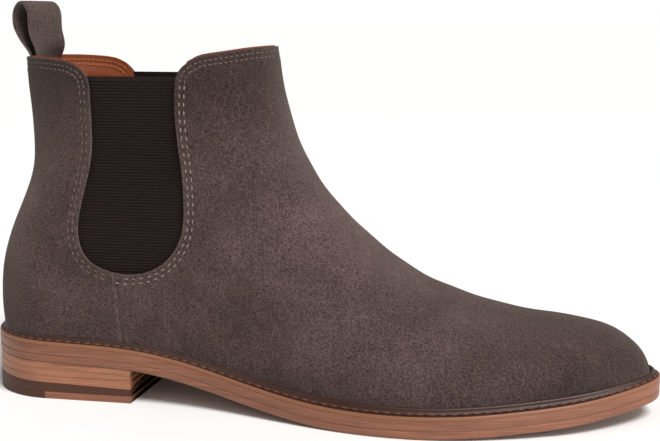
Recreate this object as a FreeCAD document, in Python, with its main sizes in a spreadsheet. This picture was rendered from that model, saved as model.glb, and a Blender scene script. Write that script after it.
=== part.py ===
import FreeCAD, Part
import math
import os
from bisect import bisect_right
from FreeCAD import Placement, Rotation, Vector

# Right-foot chelsea boot, about EU 43. X runs from heel to toe, Y towards the inner (medial)
# side, Z up. The origin is on the floor under the middle of the boot. Stations in the tables
# below are measured from the back edge of the heel and are moved to the origin by spot().

doc = FreeCAD.newDocument("ChelseaBoot")

# ------------------------------------------------------------------ driving dimensions, mm

SIZES = [
    ("boot_length", 305.0, "back of heel to tip of outsole"),
    ("side_shift", 1.48, "moves the outline so that the origin is mid-width"),
    ("suede", 1.5, "suede thickness"),
    ("ply_gap", 0.15, "glue line between two plies"),
    ("backing", 1.35, "interlining, counter, puff and gore thickness"),
    ("lining", 1.05, "lining leather thickness"),
    ("shaft_half_width", 29.6, "outside half width of the shaft"),
    ("form_half_span", 70.0, "half length of the pattern prisms, wider than the boot"),
    ("outsole_thick", 3.5, "leather outsole"),
    ("midsole_thick", 4.25, "leather midsole"),
    ("welt_thick", 2.15, "welt strip"),
    ("insole_thick", 2.8, "insole board"),
    ("sock_thick", 1.0, "sock liner"),
    ("sole_gap", 0.05, "glue line between sole layers"),
    ("welt_tuck", 3.2, "how far the welt reaches under the upper"),
    ("insole_inset", 5.4, "insole edge inside the feather edge"),
    ("sock_inset", 5.9, "sock liner edge inside the feather edge"),
    ("heel_length", 75.0, "heel back to heel breast"),
    ("heel_half_width", 34.0, "half width of the heel"),
    ("breast_hollow", 2.6, "depth of the hollow in the heel breast"),
    ("top_piece_thick", 7.5, "rubber top piece at the back of the heel"),
    ("insert_thick", 3.3, "leather insert in the top piece"),
    ("insert_start", 34.0, "heel back to the start of the leather insert"),
    ("lift_thick", 3.4, "one stacked leather heel lift"),
    ("nail_radius", 0.9, "heel nail"),
    ("nail_length", 11.0, "heel nail"),
    ("shank_length", 92.0, "steel shank"),
    ("shank_half_width", 7.0, "steel shank"),
    ("shank_thick", 1.4, "steel shank"),
    ("shank_start", 62.0, "heel back to the shank's rear end"),
    ("tab_width", 24.0, "pull tab strap width"),
    ("tab_thick", 1.5, "pull tab strap thickness"),
    ("tab_root_height", 153.6, "underside of the pull tab loop"),
    ("tab_tail", 25.0, "length of the sewn-in tails"),
    ("seam_allowance", 6.0, "gore edge hidden behind the suede"),
    ("gore_clearance", 0.7, "middle ply kept this far from the gore's hidden edge"),
    ("foot_gap", 0.15, "upper's lower edge above the welt"),
    ("fold_height", 82.0, "height of the ankle fold in the quarter"),
    ("fold_gap", 0.4, "gap between the two halves of the quarter at the fold"),
    ("counter_height", 74.0, "top of the heel counter at the back"),
    ("puff_start", 232.0, "heel back to the rear edge of the toe puff"),
]

sheet = doc.addObject("Spreadsheet::Sheet", "Sizes")
for row, (alias, amount, note) in enumerate(SIZES, start=1):
    sheet.set("A%d" % row, note)
    sheet.set("B%d" % row, str(amount))
    sheet.setAlias("B%d" % row, alias)
doc.recompute()


def size(alias):
    """Value of one driving dimension."""
    return float(getattr(sheet, alias))


LENGTH = size("boot_length")
FRONT_LIMIT = LENGTH + 3.0
BACK_LIMIT = -3.0
SHAFT_TOP_FORM = 176.0
FORM_FLOOR = -12.0

# ------------------------------------------------------------------ shape tables

# Centre line over the toe, the instep and the front of the shaft: distance from heel, height.
RIDGE = [(302.4, -8), (302.3, 6), (302, 17), (300.3, 24), (296.5, 30), (290, 35.2), (279, 39.6),
         (264, 42.4), (248, 44), (232, 47), (216, 51.6), (202.8, 57), (191.6, 64),
         (179.5, 73), (167.5, 84), (157.5, 94.5), (150, 105), (144, 117), (139.8, 130),
         (137.7, 143), (136.5, 158), (135.8, SHAFT_TOP_FORM)]
# Centre line up the back of the heel and the shaft.
BACK = [(4.2, FORM_FLOOR), (3.8, 20), (2.4, 34), (2, 46), (3, 58), (6.2, 70), (11, 82),
        (16, 94), (19.4, 105), (20.2, 115), (19.6, 128), (18.7, 140), (18.2, 152),
        (18, SHAFT_TOP_FORM)]
# Underside of the outsole: toe spring, ball, waist and the seat above the heel.
TREAD = [(0, 18), (40, 16.8), (75, 15.2), (100, 11.6), (125, 6.8), (150, 2.7), (175, 0.5),
         (198, 0.0), (222, 0.9), (250, 2.6), (280, 5.2), (305, 8.5)]
# Half width of the feather edge, where upper meets sole: outer side, then inner side.
OUTER = [(0, 31), (40, 31.4), (75, 30.5), (105, 31.5), (135, 37), (165, 44.5), (195, 49.3),
         (215, 48.5), (235, 44), (255, 36.5), (273, 27.5), (288, 17.5), (297, 9),
         (301, 2.5), (302, -3.5)]
INNER = [(0, 31), (40, 31.4), (75, 29), (105, 27.5), (135, 31), (165, 38.5), (195, 45),
         (215, 46.5), (235, 44.5), (255, 39.5), (273, 32), (288, 23.5), (297, 15.5),
         (301, 9), (302, 3.5)]
# Level lines of the last, as height at the back and a point near the front of each line.
LEVELS = [(-8, 302.2, 5), (4, 302, 17), (12, 299.5, 25.6), (19, 292.5, 33.5),
          (25, 279, 39.6), (31, 256, 43.1), (38, 232, 47), (47, 208, 54.8),
          (60, 187, 67.6), (78, 167.5, 84), (97, 151.5, 102.7), (117, 142.1, 122.5),
          (135, 137.7, 143), (152, 136.5, 158), (166, 136, 173)]
# Edge of the elastic gore, from the top of its back edge round the bottom to the front top.
GORE_EDGE = [(58.9, 140), (59, 124), (57.6, 111), (54.4, 100), (51.2, 88.7), (49.8, 75),
             (53.8, 65), (63, 59.6), (75, 58), (86.7, 61), (94.8, 68), (99.1, 77),
             (99.9, 90), (99.2, 105), (97.7, 123), (97.2, 133), (97.8, 143)]
GORE_LOW_POINT = (71.0, 58.3)
GORE_TOP = 146.5
# Rounded collar corners beside the gore, then the topline.
BACK_CORNER = [(58.9, 140), (58, 145), (54.6, 149), (49, 151.4), (43, 152.2)]
BACK_TOPLINE = 152.9
TOPLINE_LEVEL_START = 28.0   # the back topline is level behind this station
FRONT_CORNER = [(97.8, 143), (98.7, 148.4), (101.4, 152.3), (106, 154.2), (112, 154.7)]
FRONT_TOPLINE = [(112, 154.7), (122, 155.3), (134, 157.9), (142, 160.5)]
SIDE_SEAM_FOOT = 73.4
SEAM_HALF_GAP = 0.08

TIP_SIDE = 3.5           # the toe tip lies this far to the inner side
TOE_TURN = (230.0, 302.0)
SHAFT_BLEND_FOOT = 12.0  # above the feather edge, where the plan shape starts to turn
SHAFT_BLEND_RISE = 75.0  # height over which it turns into the shaft's oval
SHAFT_STATIONS = (190.0, 120.0)
SHAFT_HEIGHTS = (80.0, 125.0)
SWELL_SHARE, SWELL_HEIGHT, SWELL_SPREAD = 0.03, 14.0, 10.0
BACK_REACH, BACK_REACH_GROWTH = 30.0, 12.0   # depth of the rounding at the back
FRONT_REACH = 38.0                           # depth of the rounding at the front
ROUND_POWER, CROWN_POWER = 2.1, 2.3
STATION_STEP = 14.0
RING_STEPS = 24
TABLE_STEPS = 500


def spot(x, y, z=0.0):
    """Model position of a point given from the heel's back edge and the centre line."""
    return Vector(x - LENGTH / 2, y + size("side_shift"), z)


def smooth(low, high, x):
    """0 below low, 1 above high, an S-curve between; low may be the larger."""
    u = min(max((x - low) / (high - low), 0.0), 1.0)
    return u * u * (3 - 2 * u)


def traced(points):
    """Evenly spaced points along the smooth curve through the given ones."""
    curve = Part.BSplineCurve()
    curve.interpolate([Vector(a, b, 0) for a, b in points])
    return [(p.x, p.y) for p in curve.discretize(TABLE_STEPS)]


def offset(points, distance):
    """A traced curve moved sideways; a positive distance is to the right of its travel."""
    moved = []
    last = len(points) - 1
    for i, (a, b) in enumerate(points):
        before, after = points[max(i - 1, 0)], points[min(i + 1, last)]
        da, db = after[0] - before[0], after[1] - before[1]
        run = math.hypot(da, db)
        moved.append((a + db / run * distance, b - da / run * distance))
    return moved


class Lookup:
    """Straight-line reading of a table whose keys rise."""

    def __init__(self, pairs):
        ordered = sorted(pairs)
        self.keys = [k for k, _ in ordered]
        self.values = [v for _, v in ordered]

    def __call__(self, key):
        i = min(max(bisect_right(self.keys, key), 1), len(self.keys) - 1)
        k0, k1 = self.keys[i - 1], self.keys[i]
        u = 0.0 if k1 == k0 else min(max((key - k0) / (k1 - k0), 0.0), 1.0)
        return self.values[i - 1] * (1 - u) + self.values[i] * u


ridge_line = traced(RIDGE)
back_line = traced(BACK)
tread_height = Lookup(traced(TREAD))
back_at = Lookup([(z, x) for x, z in back_line])
outer_plan = Lookup(traced(OUTER))
inner_plan = Lookup(traced(INNER))
SEAT_RISE = (size("outsole_thick") + size("midsole_thick") + size("welt_thick")
             + 2 * size("sole_gap"))


def seat_height(x):
    """Height of the feather edge at a station."""
    return tread_height(min(max(x, 0.0), LENGTH)) + SEAT_RISE


class LastForm:
    """Solid inside of the upper, a given inset inside its outer face."""

    def __init__(self, inset):
        self.inset = inset
        self.ridge = offset(ridge_line, -inset)
        self.ridge_top = Lookup(self.ridge)
        self.ridge_front = Lookup([(z, x) for x, z in self.ridge])

    def half_width(self, x, z, side):
        """Distance from the centre line to the surface; side is -1 outer, +1 inner."""
        plan = inner_plan(x) if side > 0 else outer_plan(x)
        centre = TIP_SIDE * smooth(*TOE_TURN, x)
        above = z - seat_height(x)
        turned = smooth(0, 1, (above - SHAFT_BLEND_FOOT) / SHAFT_BLEND_RISE)
        shaft = turned * smooth(*SHAFT_STATIONS, x)
        width = (plan - side * centre) * (1 - shaft) + size("shaft_half_width") * shaft
        swell = SWELL_SHARE * math.exp(-((above - SWELL_HEIGHT) / SWELL_SPREAD) ** 2)
        width = width * (1 + swell) - self.inset
        high = smooth(*SHAFT_HEIGHTS, z)
        back_reach = BACK_REACH + BACK_REACH_GROWTH * high
        u = min(max((x - back_at(z) - self.inset) / back_reach, 0.0), 1.0)
        back_round = math.sqrt(max(1 - (1 - u) ** ROUND_POWER, 0.0))
        rise = self.ridge_top(x) - seat_height(x)
        share = min(max(above / max(rise, 0.001), 0.0), 1.0)
        crown = math.sqrt(max(1 - share ** CROWN_POWER, 0.0))
        v = min(max((self.ridge_front(z) - x) / FRONT_REACH, 0.0), 1.0)
        front_round = math.sqrt(max(1 - (1 - v) ** ROUND_POWER, 0.0))
        return max(width, 0.0) * back_round * crown ** (1 - high) * front_round ** high

    def level(self, number, lift):
        """Closed wire round the form at one level line."""
        back_z, aim_x, aim_z = LEVELS[number]
        back_z += lift
        back_x = back_at(back_z) + self.inset
        across = (aim_x - back_x, aim_z + lift - back_z)
        signed = [(p[1] - back_z) * across[0] - (p[0] - back_x) * across[1]
                  for p in self.ridge]
        crossing = max(i for i in range(len(signed) - 1) if signed[i] * signed[i + 1] <= 0)
        part = signed[crossing] / (signed[crossing] - signed[crossing + 1])
        front_x, front_z = (a + (b - a) * part for a, b in
                            zip(self.ridge[crossing], self.ridge[crossing + 1]))
        outer_side, inner_side = [], []
        for step in range(RING_STEPS + 1):
            u = (1 - math.cos(math.pi * step / RING_STEPS)) / 2
            x = back_x + (front_x - back_x) * u
            z = back_z + (front_z - back_z) * u
            centre = TIP_SIDE * smooth(*TOE_TURN, x)
            at_end = step in (0, RING_STEPS)
            for side, points in ((-1, outer_side), (1, inner_side)):
                reach = 0.0 if at_end else max(self.half_width(x, z, side), 0.02)
                points.append(spot(x, centre + side * reach, z))
        ring = Part.BSplineCurve()
        ring.interpolate(Points=outer_side + inner_side[-2:0:-1], PeriodicFlag=True)
        return Part.Wire([ring.toShape()])

    def solid(self, name, lift):
        """Loft through every level line; lift moves the end levels beyond the others."""
        count = len(LEVELS)
        rings = []
        for number in range(count):
            extra = -lift if number == 0 else lift if number == count - 1 else 0.0
            ring = doc.addObject("Part::Feature", "%s_level_%02d" % (name, number))
            ring.Shape = self.level(number, extra)
            rings.append(ring)
        loft = doc.addObject("Part::Loft", name)
        loft.Sections = rings
        loft.Solid = True
        loft.Ruled = False
        return loft


# ------------------------------------------------------------------ small document helpers

parts = {}


def keep(node, feature):
    """Name a finished sub-part; its label is its file name."""
    feature.Label = node
    parts[node] = feature
    return feature


def side_sketch(name, curves, off_centre=0.0):
    """Sketch standing in the XZ plane, through the centre line or beside it."""
    sketch = doc.addObject("Sketcher::SketchObject", name)
    sketch.Placement = Placement(Vector(0, size("side_shift") + off_centre, 0),
                                 Rotation(Vector(1, 0, 0), 90))
    sketch.addGeometry(curves, False)
    return sketch


def plan_sketch(name, curves, height):
    """Sketch lying flat at a height."""
    sketch = doc.addObject("Sketcher::SketchObject", name)
    sketch.Placement = Placement(Vector(0, 0, height), Rotation())
    sketch.addGeometry(curves, False)
    return sketch


def prism(name, sketch, side=0):
    """Pattern prism across the boot: both sides, or only the outer (-1) or inner (+1)."""
    solid = doc.addObject("Part::Extrusion", name)
    solid.Base = sketch
    solid.DirMode = "Custom"
    solid.Dir = Vector(0, side or 1, 0)
    solid.Solid = True
    solid.setExpression("LengthFwd", "Sizes.form_half_span")
    if side == 0:
        solid.setExpression("LengthRev", "Sizes.form_half_span")
    return solid


def column(name, sketch, height):
    """Plan outline carried straight up."""
    solid = doc.addObject("Part::Extrusion", name)
    solid.Base = sketch
    solid.DirMode = "Custom"
    solid.Dir = Vector(0, 0, 1)
    solid.Solid = True
    solid.LengthFwd = height
    return solid


def cut(name, base, tool):
    """Base with the tool taken out of it."""
    feature = doc.addObject("Part::Cut", name)
    feature.Base, feature.Tool = base, tool
    return feature


def common(name, base, tool):
    """What base and tool share."""
    feature = doc.addObject("Part::Common", name)
    feature.Base, feature.Tool = base, tool
    return feature


def flat(x, z):
    """Sketch point of a side view."""
    return Vector(x - LENGTH / 2, z, 0)


def line_path(points):
    """Straight edges through side-view points."""
    return [Part.LineSegment(flat(*a), flat(*b)) for a, b in zip(points, points[1:])]


def smooth_path(points):
    """One smooth edge through side-view points."""
    curve = Part.BSplineCurve()
    curve.interpolate([flat(x, z) for x, z in points])
    return [curve]


def raised(rise, first=BACK_LIMIT, last=FRONT_LIMIT):
    """Side-view points of the tread line lifted by rise, from first to last station."""
    steps = math.ceil((last - first) / STATION_STEP)
    stations = [first + (last - first) * i / steps for i in range(steps + 1)]
    return [(x, tread_height(min(max(x, 0.0), LENGTH)) + rise) for x in stations]


# ------------------------------------------------------------------ plies of the upper

ply_1_in = size("suede")
ply_2_out = ply_1_in + size("ply_gap")
ply_2_in = ply_2_out + size("backing")
ply_3_out = ply_2_in + size("ply_gap")
ply_3_in = ply_3_out + size("lining")

shells = []
for number, (outside, inside) in enumerate(((0.0, ply_1_in), (ply_2_out, ply_2_in),
                                            (ply_3_out, ply_3_in)), start=1):
    outer_form = LastForm(outside).solid("Ply%dOutside" % number, 0.0)
    inner_form = LastForm(inside).solid("Ply%dInside" % number, 2.0)
    shells.append(cut("Ply%d" % number, outer_form, inner_form))
suede_shell, backing_shell, lining_shell = shells

UPPER_FOOT = SEAT_RISE + size("foot_gap")


def gore_edge(grow):
    """Gore edge moved outwards by grow, as side-view points."""
    return offset(traced(GORE_EDGE), grow)[::TABLE_STEPS // 16]


split = [i for i, p in enumerate(GORE_EDGE) if p[0] > GORE_LOW_POINT[0]][0]
gore_back_half = GORE_EDGE[:split] + [GORE_LOW_POINT]


def seam_shift(points, shift):
    """Side-view points moved along the boot."""
    return [(x + shift, z) for x, z in points]


def vamp_outline():
    """Side view of the front of the upper: side seam, gore edge, collar and toe."""
    seam_top = (GORE_LOW_POINT[0] + SEAM_HALF_GAP, GORE_LOW_POINT[1])
    foot = (SIDE_SEAM_FOOT + SEAM_HALF_GAP, seat_height(SIDE_SEAM_FOOT)
            + size("foot_gap"))
    front_foot = raised(UPPER_FOOT, foot[0], FRONT_LIMIT)
    front_foot[0] = foot
    edges = line_path([foot, seam_top])
    edges += smooth_path([seam_top] + GORE_EDGE[split:])
    edges += smooth_path(FRONT_CORNER)
    edges += smooth_path(FRONT_TOPLINE)
    edges += line_path([FRONT_TOPLINE[-1], (FRONT_LIMIT, FRONT_TOPLINE[-1][1]),
                        front_foot[-1]])
    edges += smooth_path(front_foot)
    return edges


def quarter_outline(low, high):
    """Side view of the back of the upper between two heights (None is its own edge)."""
    seam_top = (GORE_LOW_POINT[0] - SEAM_HALF_GAP, GORE_LOW_POINT[1])
    back_edge = Lookup([(z, x) for x, z in gore_back_half[:6]])
    if low is None:
        foot = (SIDE_SEAM_FOOT - SEAM_HALF_GAP, seat_height(SIDE_SEAM_FOOT)
                + size("foot_gap"))
        under = raised(UPPER_FOOT, BACK_LIMIT, foot[0])
        under[-1] = foot
        lower_half = [(back_edge(high), high)] + [p for p in gore_back_half[:-1]
                                                  if p[1] < high - 2] + [seam_top]
        return (line_path([foot, seam_top]) + smooth_path(lower_half)
                + line_path([lower_half[0], (BACK_LIMIT, high), under[0]])
                + smooth_path(under))
    upper_half = [p for p in gore_back_half if p[1] > low + 2] + [(back_edge(low), low)]
    return (smooth_path(upper_half) + smooth_path(BACK_CORNER)
            + line_path([BACK_CORNER[-1], (TOPLINE_LEVEL_START, BACK_TOPLINE),
                         (BACK_LIMIT, BACK_TOPLINE),
                         (BACK_LIMIT, low), upper_half[-1]]))


FOLD_LOW = size("fold_height") - size("fold_gap") / 2
FOLD_HIGH = size("fold_height") + size("fold_gap") / 2
vamp_prism = prism("VampPrism", side_sketch("VampPattern", vamp_outline()))
quarter_low_prism = prism("QuarterLowPrism",
                          side_sketch("QuarterLowPattern", quarter_outline(None, FOLD_LOW)))
quarter_high_prism = prism("QuarterHighPrism",
                           side_sketch("QuarterHighPattern",
                                       quarter_outline(FOLD_HIGH, None)))

keep("vamp", common("Vamp", suede_shell, vamp_prism))
keep("quarter_lower", common("QuarterLower", suede_shell, quarter_low_prism))
keep("quarter_upper", common("QuarterUpper", suede_shell, quarter_high_prism))
keep("vamp_lining", common("VampLining", lining_shell, vamp_prism))
keep("quarter_lining_lower", common("QuarterLiningLower", lining_shell, quarter_low_prism))
keep("quarter_lining_upper", common("QuarterLiningUpper", lining_shell,
                                    quarter_high_prism))

# ------------------------------------------------------------------ middle ply


def gore_panel_outline(grow):
    """Side view of a gore panel with its hidden edges, open corners closed at the top."""
    edge = gore_edge(grow)
    first, last = (edge[0][0], GORE_TOP), (edge[-1][0], GORE_TOP)
    return smooth_path([first] + edge[1:-1] + [last]) + line_path([last, first])


gore_pattern = side_sketch("GorePattern", gore_panel_outline(size("seam_allowance")))
keep("gore_lateral", common("GoreLateral", backing_shell,
                            prism("GoreOuterPrism", gore_pattern, -1)))
keep("gore_medial", common("GoreMedial", backing_shell,
                           prism("GoreInnerPrism", gore_pattern, 1)))

ROOM_TOP = 165.0
gore_room_edge = gore_edge(size("seam_allowance") + size("gore_clearance"))
room_start, room_end = ((gore_room_edge[i][0], ROOM_TOP) for i in (0, -1))
gore_room = prism("GoreRoom", side_sketch(
    "GoreRoomPattern", smooth_path([room_start] + gore_room_edge[1:-1] + [room_end])
    + line_path([room_end, room_start])))

puff_edge = [(size("puff_start"), 60), (size("puff_start") + 6, 40),
             (size("puff_start") + 2, 25), (size("puff_start") - 6, 5)]
puff_foot = raised(UPPER_FOOT, puff_edge[-1][0], FRONT_LIMIT)
puff_edge[-1] = puff_foot[0]
puff_outline = (smooth_path(puff_edge) + smooth_path(puff_foot)
                + line_path([puff_foot[-1], (FRONT_LIMIT, 60), puff_edge[0]]))
puff_prism = prism("PuffPrism", side_sketch("PuffPattern", puff_outline))
keep("toe_puff", common("ToePuff", backing_shell, puff_prism))

interlining_edge = seam_shift(puff_edge[:-1], -0.3)
interlining_foot = raised(UPPER_FOOT, SIDE_SEAM_FOOT + 0.3, puff_foot[0][0] - 0.3)
interlining_edge.append(interlining_foot[-1])
collar = [(122, 154.3), (134, 156.9), (142, 159.5)]
interlining_outline = (
    smooth_path(interlining_foot) + smooth_path(interlining_edge)
    + line_path([interlining_edge[0], (200, 60), (200, 159.5), collar[-1]])
    + smooth_path(collar[::-1])
    + line_path([collar[0], (100, 153.4), (GORE_LOW_POINT[0] + 0.3, 153.4),
                 (GORE_LOW_POINT[0] + 0.3, 50), interlining_foot[0]]))
interlining_prism = prism("InterliningPrism",
                          side_sketch("InterliningPattern", interlining_outline))
keep("vamp_interlining", cut("VampInterlining",
                             common("InterliningBlank", backing_shell, interlining_prism),
                             gore_room))

counter_foot = raised(UPPER_FOOT, BACK_LIMIT, SIDE_SEAM_FOOT - 0.3)
counter_top = [(BACK_LIMIT, size("counter_height")), (22, size("counter_height") - 4),
               (38, 60), (50, 48.5), (61, 38), counter_foot[-1]]
counter_outline = (smooth_path(counter_top) + smooth_path(counter_foot)
                   + line_path([counter_foot[0], counter_top[0]]))
counter_prism = prism("CounterPrism", side_sketch("CounterPattern", counter_outline))
keep("heel_counter", common("HeelCounter", backing_shell, counter_prism))

TAIL_BOX_LENGTH = 40.0
tail_floor = BACK_TOPLINE - size("tab_tail")
tail_box = doc.addObject("Part::Box", "TailBox")
tail_box.Length = TAIL_BOX_LENGTH
tail_box.setExpression("Width", "Sizes.tab_width")
tail_box.setExpression("Height", "Sizes.tab_tail")
tail_box.Placement = Placement(spot(BACK_LIMIT, -size("tab_width") / 2, tail_floor),
                               Rotation())
keep("pull_tab_tails", common("PullTabTails", backing_shell, tail_box))
room_back = Lookup([(z, x) for x, z in gore_room_edge if x < GORE_LOW_POINT[0]])
tape_top = BACK_TOPLINE - 1.5
backing_top = tail_floor - size("ply_gap")
backing_front = [(room_back(z), z) for z in (FOLD_HIGH, 92, 102, 113, backing_top)]
backing_outline = (smooth_path(backing_front)
                   + line_path([backing_front[-1], (BACK_LIMIT, backing_top),
                                (BACK_LIMIT, FOLD_HIGH), backing_front[0]]))
backing_prism = prism("BackingPrism", side_sketch("BackingPattern", backing_outline))
keep("quarter_backing", common("QuarterBacking", backing_shell, backing_prism))

tape_front = [(room_back(tail_floor), tail_floor), (room_back(136), 136), (50.5, 145.5),
              (46, tape_top)]
tape_outline = (smooth_path(tape_front)
                + line_path([tape_front[-1], (BACK_LIMIT, tape_top),
                             (BACK_LIMIT, tail_floor), tape_front[0]]))
for word, side in (("lateral", -1), ("medial", 1)):
    beside_tail = side * (size("tab_width") / 2 + size("ply_gap"))
    tape_pattern = side_sketch("CollarTapePattern_" + word, tape_outline, beside_tail)
    keep("collar_tape_" + word, common("CollarTape_" + word, backing_shell,
                                       prism("CollarTapePrism_" + word, tape_pattern,
                                             side)))

# ------------------------------------------------------------------ sole layers


def feather_points(grow):
    """Plan points round the boot, grow outside the feather edge at each station."""
    tip = (OUTER[-1][0], TIP_SIDE)
    centre_x, radius = 34.0, 31.0
    heel = [(centre_x - radius * math.cos(math.radians(a)),
             radius * math.sin(math.radians(a))) for a in range(-75, 76, 25)]
    outer = [(x, -y) for x, y in OUTER[1:-1]]
    inner = [(x, y) for x, y in INNER[1:-1]]
    ring = heel + inner + [tip] + outer[::-1]
    curve = Part.BSplineCurve()
    curve.interpolate(Points=[Vector(x, y, 0) for x, y in ring], PeriodicFlag=True)
    moved = []
    for x, y in ring:
        at = curve.parameter(Vector(x, y, 0))
        tangent = curve.tangent(at)[0]
        reach = grow(x)
        moved.append((x + tangent.y * reach * -1, y + tangent.x * reach))
    return moved


def welt_reach(x):
    """How far the sole stands out from the feather edge."""
    return 3.0 + 3.2 * smooth(80, 180, x) - 3.0 * smooth(262, 302, x)


def plan_loop(grow):
    """Closed plan curve grown from the feather edge."""
    curve = Part.BSplineCurve()
    curve.interpolate(Points=[spot(x, y) for x, y in feather_points(grow)],
                      PeriodicFlag=True)
    return [curve]


def layer_band(name, low, high):
    """Side-view band between two rises above the tread, carried across the boot."""
    lower, upper = raised(low), raised(high)
    edges = smooth_path(lower) + smooth_path(upper)
    edges += line_path([lower[0], upper[0]]) + line_path([lower[-1], upper[-1]])
    return prism(name + "Prism", side_sketch(name + "Profile", edges))


COLUMN_FLOOR, COLUMN_TALL = -5.0, 60.0
FILLER_GAP, SHANK_RISE = 0.1, 0.3


def plan_column(name, grow):
    """Plan outline grown from the feather edge, carried up through the sole."""
    return column(name, plan_sketch(name + "Plan", plan_loop(grow), COLUMN_FLOOR),
                  COLUMN_TALL)


gap = size("sole_gap")
midsole_low = size("outsole_thick") + gap
midsole_high = midsole_low + size("midsole_thick")
welt_low = midsole_high + gap
welt_high = welt_low + size("welt_thick")
insole_low = welt_high + gap
insole_high = insole_low + size("insole_thick")

sole_column = plan_column("SoleColumn", welt_reach)
tuck_column = plan_column("WeltInnerColumn", lambda x: -size("welt_tuck"))
filler_column = plan_column("FillerColumn", lambda x: -size("welt_tuck") - FILLER_GAP)
insole_column = plan_column("InsoleColumn", lambda x: -size("insole_inset"))
sock_column = plan_column("SockColumn", lambda x: -size("sock_inset"))

keep("outsole", common("Outsole", sole_column,
                       layer_band("OutsoleBand", 0, size("outsole_thick"))))
keep("midsole", common("Midsole", sole_column,
                       layer_band("MidsoleBand", midsole_low, midsole_high)))
welt_band = layer_band("WeltBand", welt_low, welt_high)
keep("welt", cut("Welt", common("WeltBlank", sole_column, welt_band), tuck_column))
keep("insole", common("Insole", insole_column,
                      layer_band("InsoleBand", insole_low, insole_high)))
keep("sock_liner", common("SockLiner", sock_column,
                          layer_band("SockBand", insole_high + gap,
                                     insole_high + gap + size("sock_thick"))))

shank_low = welt_low + SHANK_RISE
shank_blank = doc.addObject("Part::Box", "ShankBlank")
shank_blank.setExpression("Length", "Sizes.shank_length")
shank_blank.setExpression("Width", "2 * Sizes.shank_half_width")
shank_blank.Height = COLUMN_TALL
shank_blank.Placement = Placement(spot(size("shank_start"), -size("shank_half_width"),
                                       COLUMN_FLOOR), Rotation())
keep("shank", common("Shank", shank_blank,
                     layer_band("ShankBand", shank_low, shank_low + size("shank_thick"))))
filler_blank = common("FillerBlank", filler_column, welt_band)
shank_room = doc.addObject("Part::Box", "ShankRoom")
shank_room.setExpression("Length", "Sizes.shank_length + 2 * Sizes.ply_gap")
shank_room.setExpression("Width", "2 * Sizes.shank_half_width + 2 * Sizes.ply_gap")
shank_room.Height = COLUMN_TALL
shank_room.Placement = Placement(
    spot(size("shank_start") - size("ply_gap"), -size("shank_half_width")
         - size("ply_gap"), COLUMN_FLOOR), Rotation())
keep("cork_filler", cut("CorkFiller", filler_blank, shank_room))

# ------------------------------------------------------------------ heel


def heel_edges(start):
    """Plan outline of the heel from a station to the breast; None takes in the back."""
    half = size("heel_half_width")
    breast = size("heel_length")
    side_x = half if start is None else start
    corner_out, corner_in = spot(breast, -half + 0.7), spot(breast, half - 1.4)
    start_out, start_in = spot(side_x, -half), spot(side_x, half)
    hollow = spot(breast - size("breast_hollow"), 0)
    edges = [Part.LineSegment(start_out, corner_out), Part.Arc(corner_out, hollow, corner_in),
             Part.LineSegment(corner_in, start_in)]
    if start is None:
        edges.append(Part.Arc(start_in, spot(0, 0), start_out))
    else:
        edges.append(Part.LineSegment(start_in, start_out))
    return edges


def plane_of(body, role):
    """One of a body's three origin planes."""
    return [f for f in body.Origin.OriginFeatures if f.Role == role][0]


def heel_body(name, start, height_sum):
    """PartDesign body with one pad of the heel outline; its height follows the sheet."""
    body = doc.addObject("PartDesign::Body", name)
    sketch = body.newObject("Sketcher::SketchObject", name + "Outline")
    sketch.AttachmentSupport = [(plane_of(body, "XY_Plane"), "")]
    sketch.MapMode = "FlatFace"
    sketch.addGeometry(heel_edges(start), False)
    pad = body.newObject("PartDesign::Pad", name + "Pad")
    pad.Profile = sketch
    pad.setExpression("Length", height_sum)
    return body


rubber = heel_body("HeelRubber", None, "Sizes.top_piece_thick")
doc.recompute()
notch = rubber.newObject("Sketcher::SketchObject", "InsertNotch")
notch.AttachmentSupport = [(plane_of(rubber, "XY_Plane"), "")]
notch.MapMode = "FlatFace"
wide = size("heel_half_width") + 5
corners = [spot(size("insert_start"), -wide), spot(size("heel_length") + 5, -wide),
           spot(size("heel_length") + 5, wide), spot(size("insert_start"), wide)]
notch.addGeometry([Part.LineSegment(a, b) for a, b in
                   zip(corners, corners[1:] + corners[:1])], False)
pocket = rubber.newObject("PartDesign::Pocket", "InsertPocket")
pocket.Profile = notch
pocket.setExpression("Length", "Sizes.insert_thick")
pocket.Reversed = True
keep("heel_rubber", rubber)

insert = heel_body("HeelInsert", size("insert_start") + 0.1,
                   "Sizes.insert_thick - Sizes.sole_gap")
keep("heel_insert", insert)

LIFTS = 3
for number in range(LIFTS):
    floor = size("top_piece_thick") + gap + number * (size("lift_thick") + gap)
    if number < LIFTS - 1:
        lift = heel_body("HeelLift%d" % (number + 1), None, "Sizes.lift_thick")
        lift.Placement = Placement(Vector(0, 0, floor), Rotation())
        keep("heel_lift_%d" % (number + 1), lift)
    else:
        blank = heel_body("HeelWedgeBlank", None, "10 mm")
        blank.Placement = Placement(Vector(0, 0, floor), Rotation())
        wedge = common("HeelWedge", blank, layer_band("WedgeBand", -12, -gap))
        keep("heel_lift_%d" % (number + 1), wedge)

NAIL_PLACES = [(10, 0), (20, -20), (20, 20), (44, -25), (44, 25), (64, -24), (64, 23)]
nails = []
for x, y in NAIL_PLACES:
    nail = doc.addObject("Part::Cylinder", "HeelNail")
    nail.setExpression("Radius", "Sizes.nail_radius")
    nail.setExpression("Height", "Sizes.nail_length")
    nail.Placement = Placement(spot(x, y, size("insert_thick") + 1.0), Rotation())
    nails.append(nail)
nail_group = doc.addObject("Part::Compound", "HeelNails")
nail_group.Links = nails
keep("heel_nails", nail_group)

# ------------------------------------------------------------------ pull tab

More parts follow.
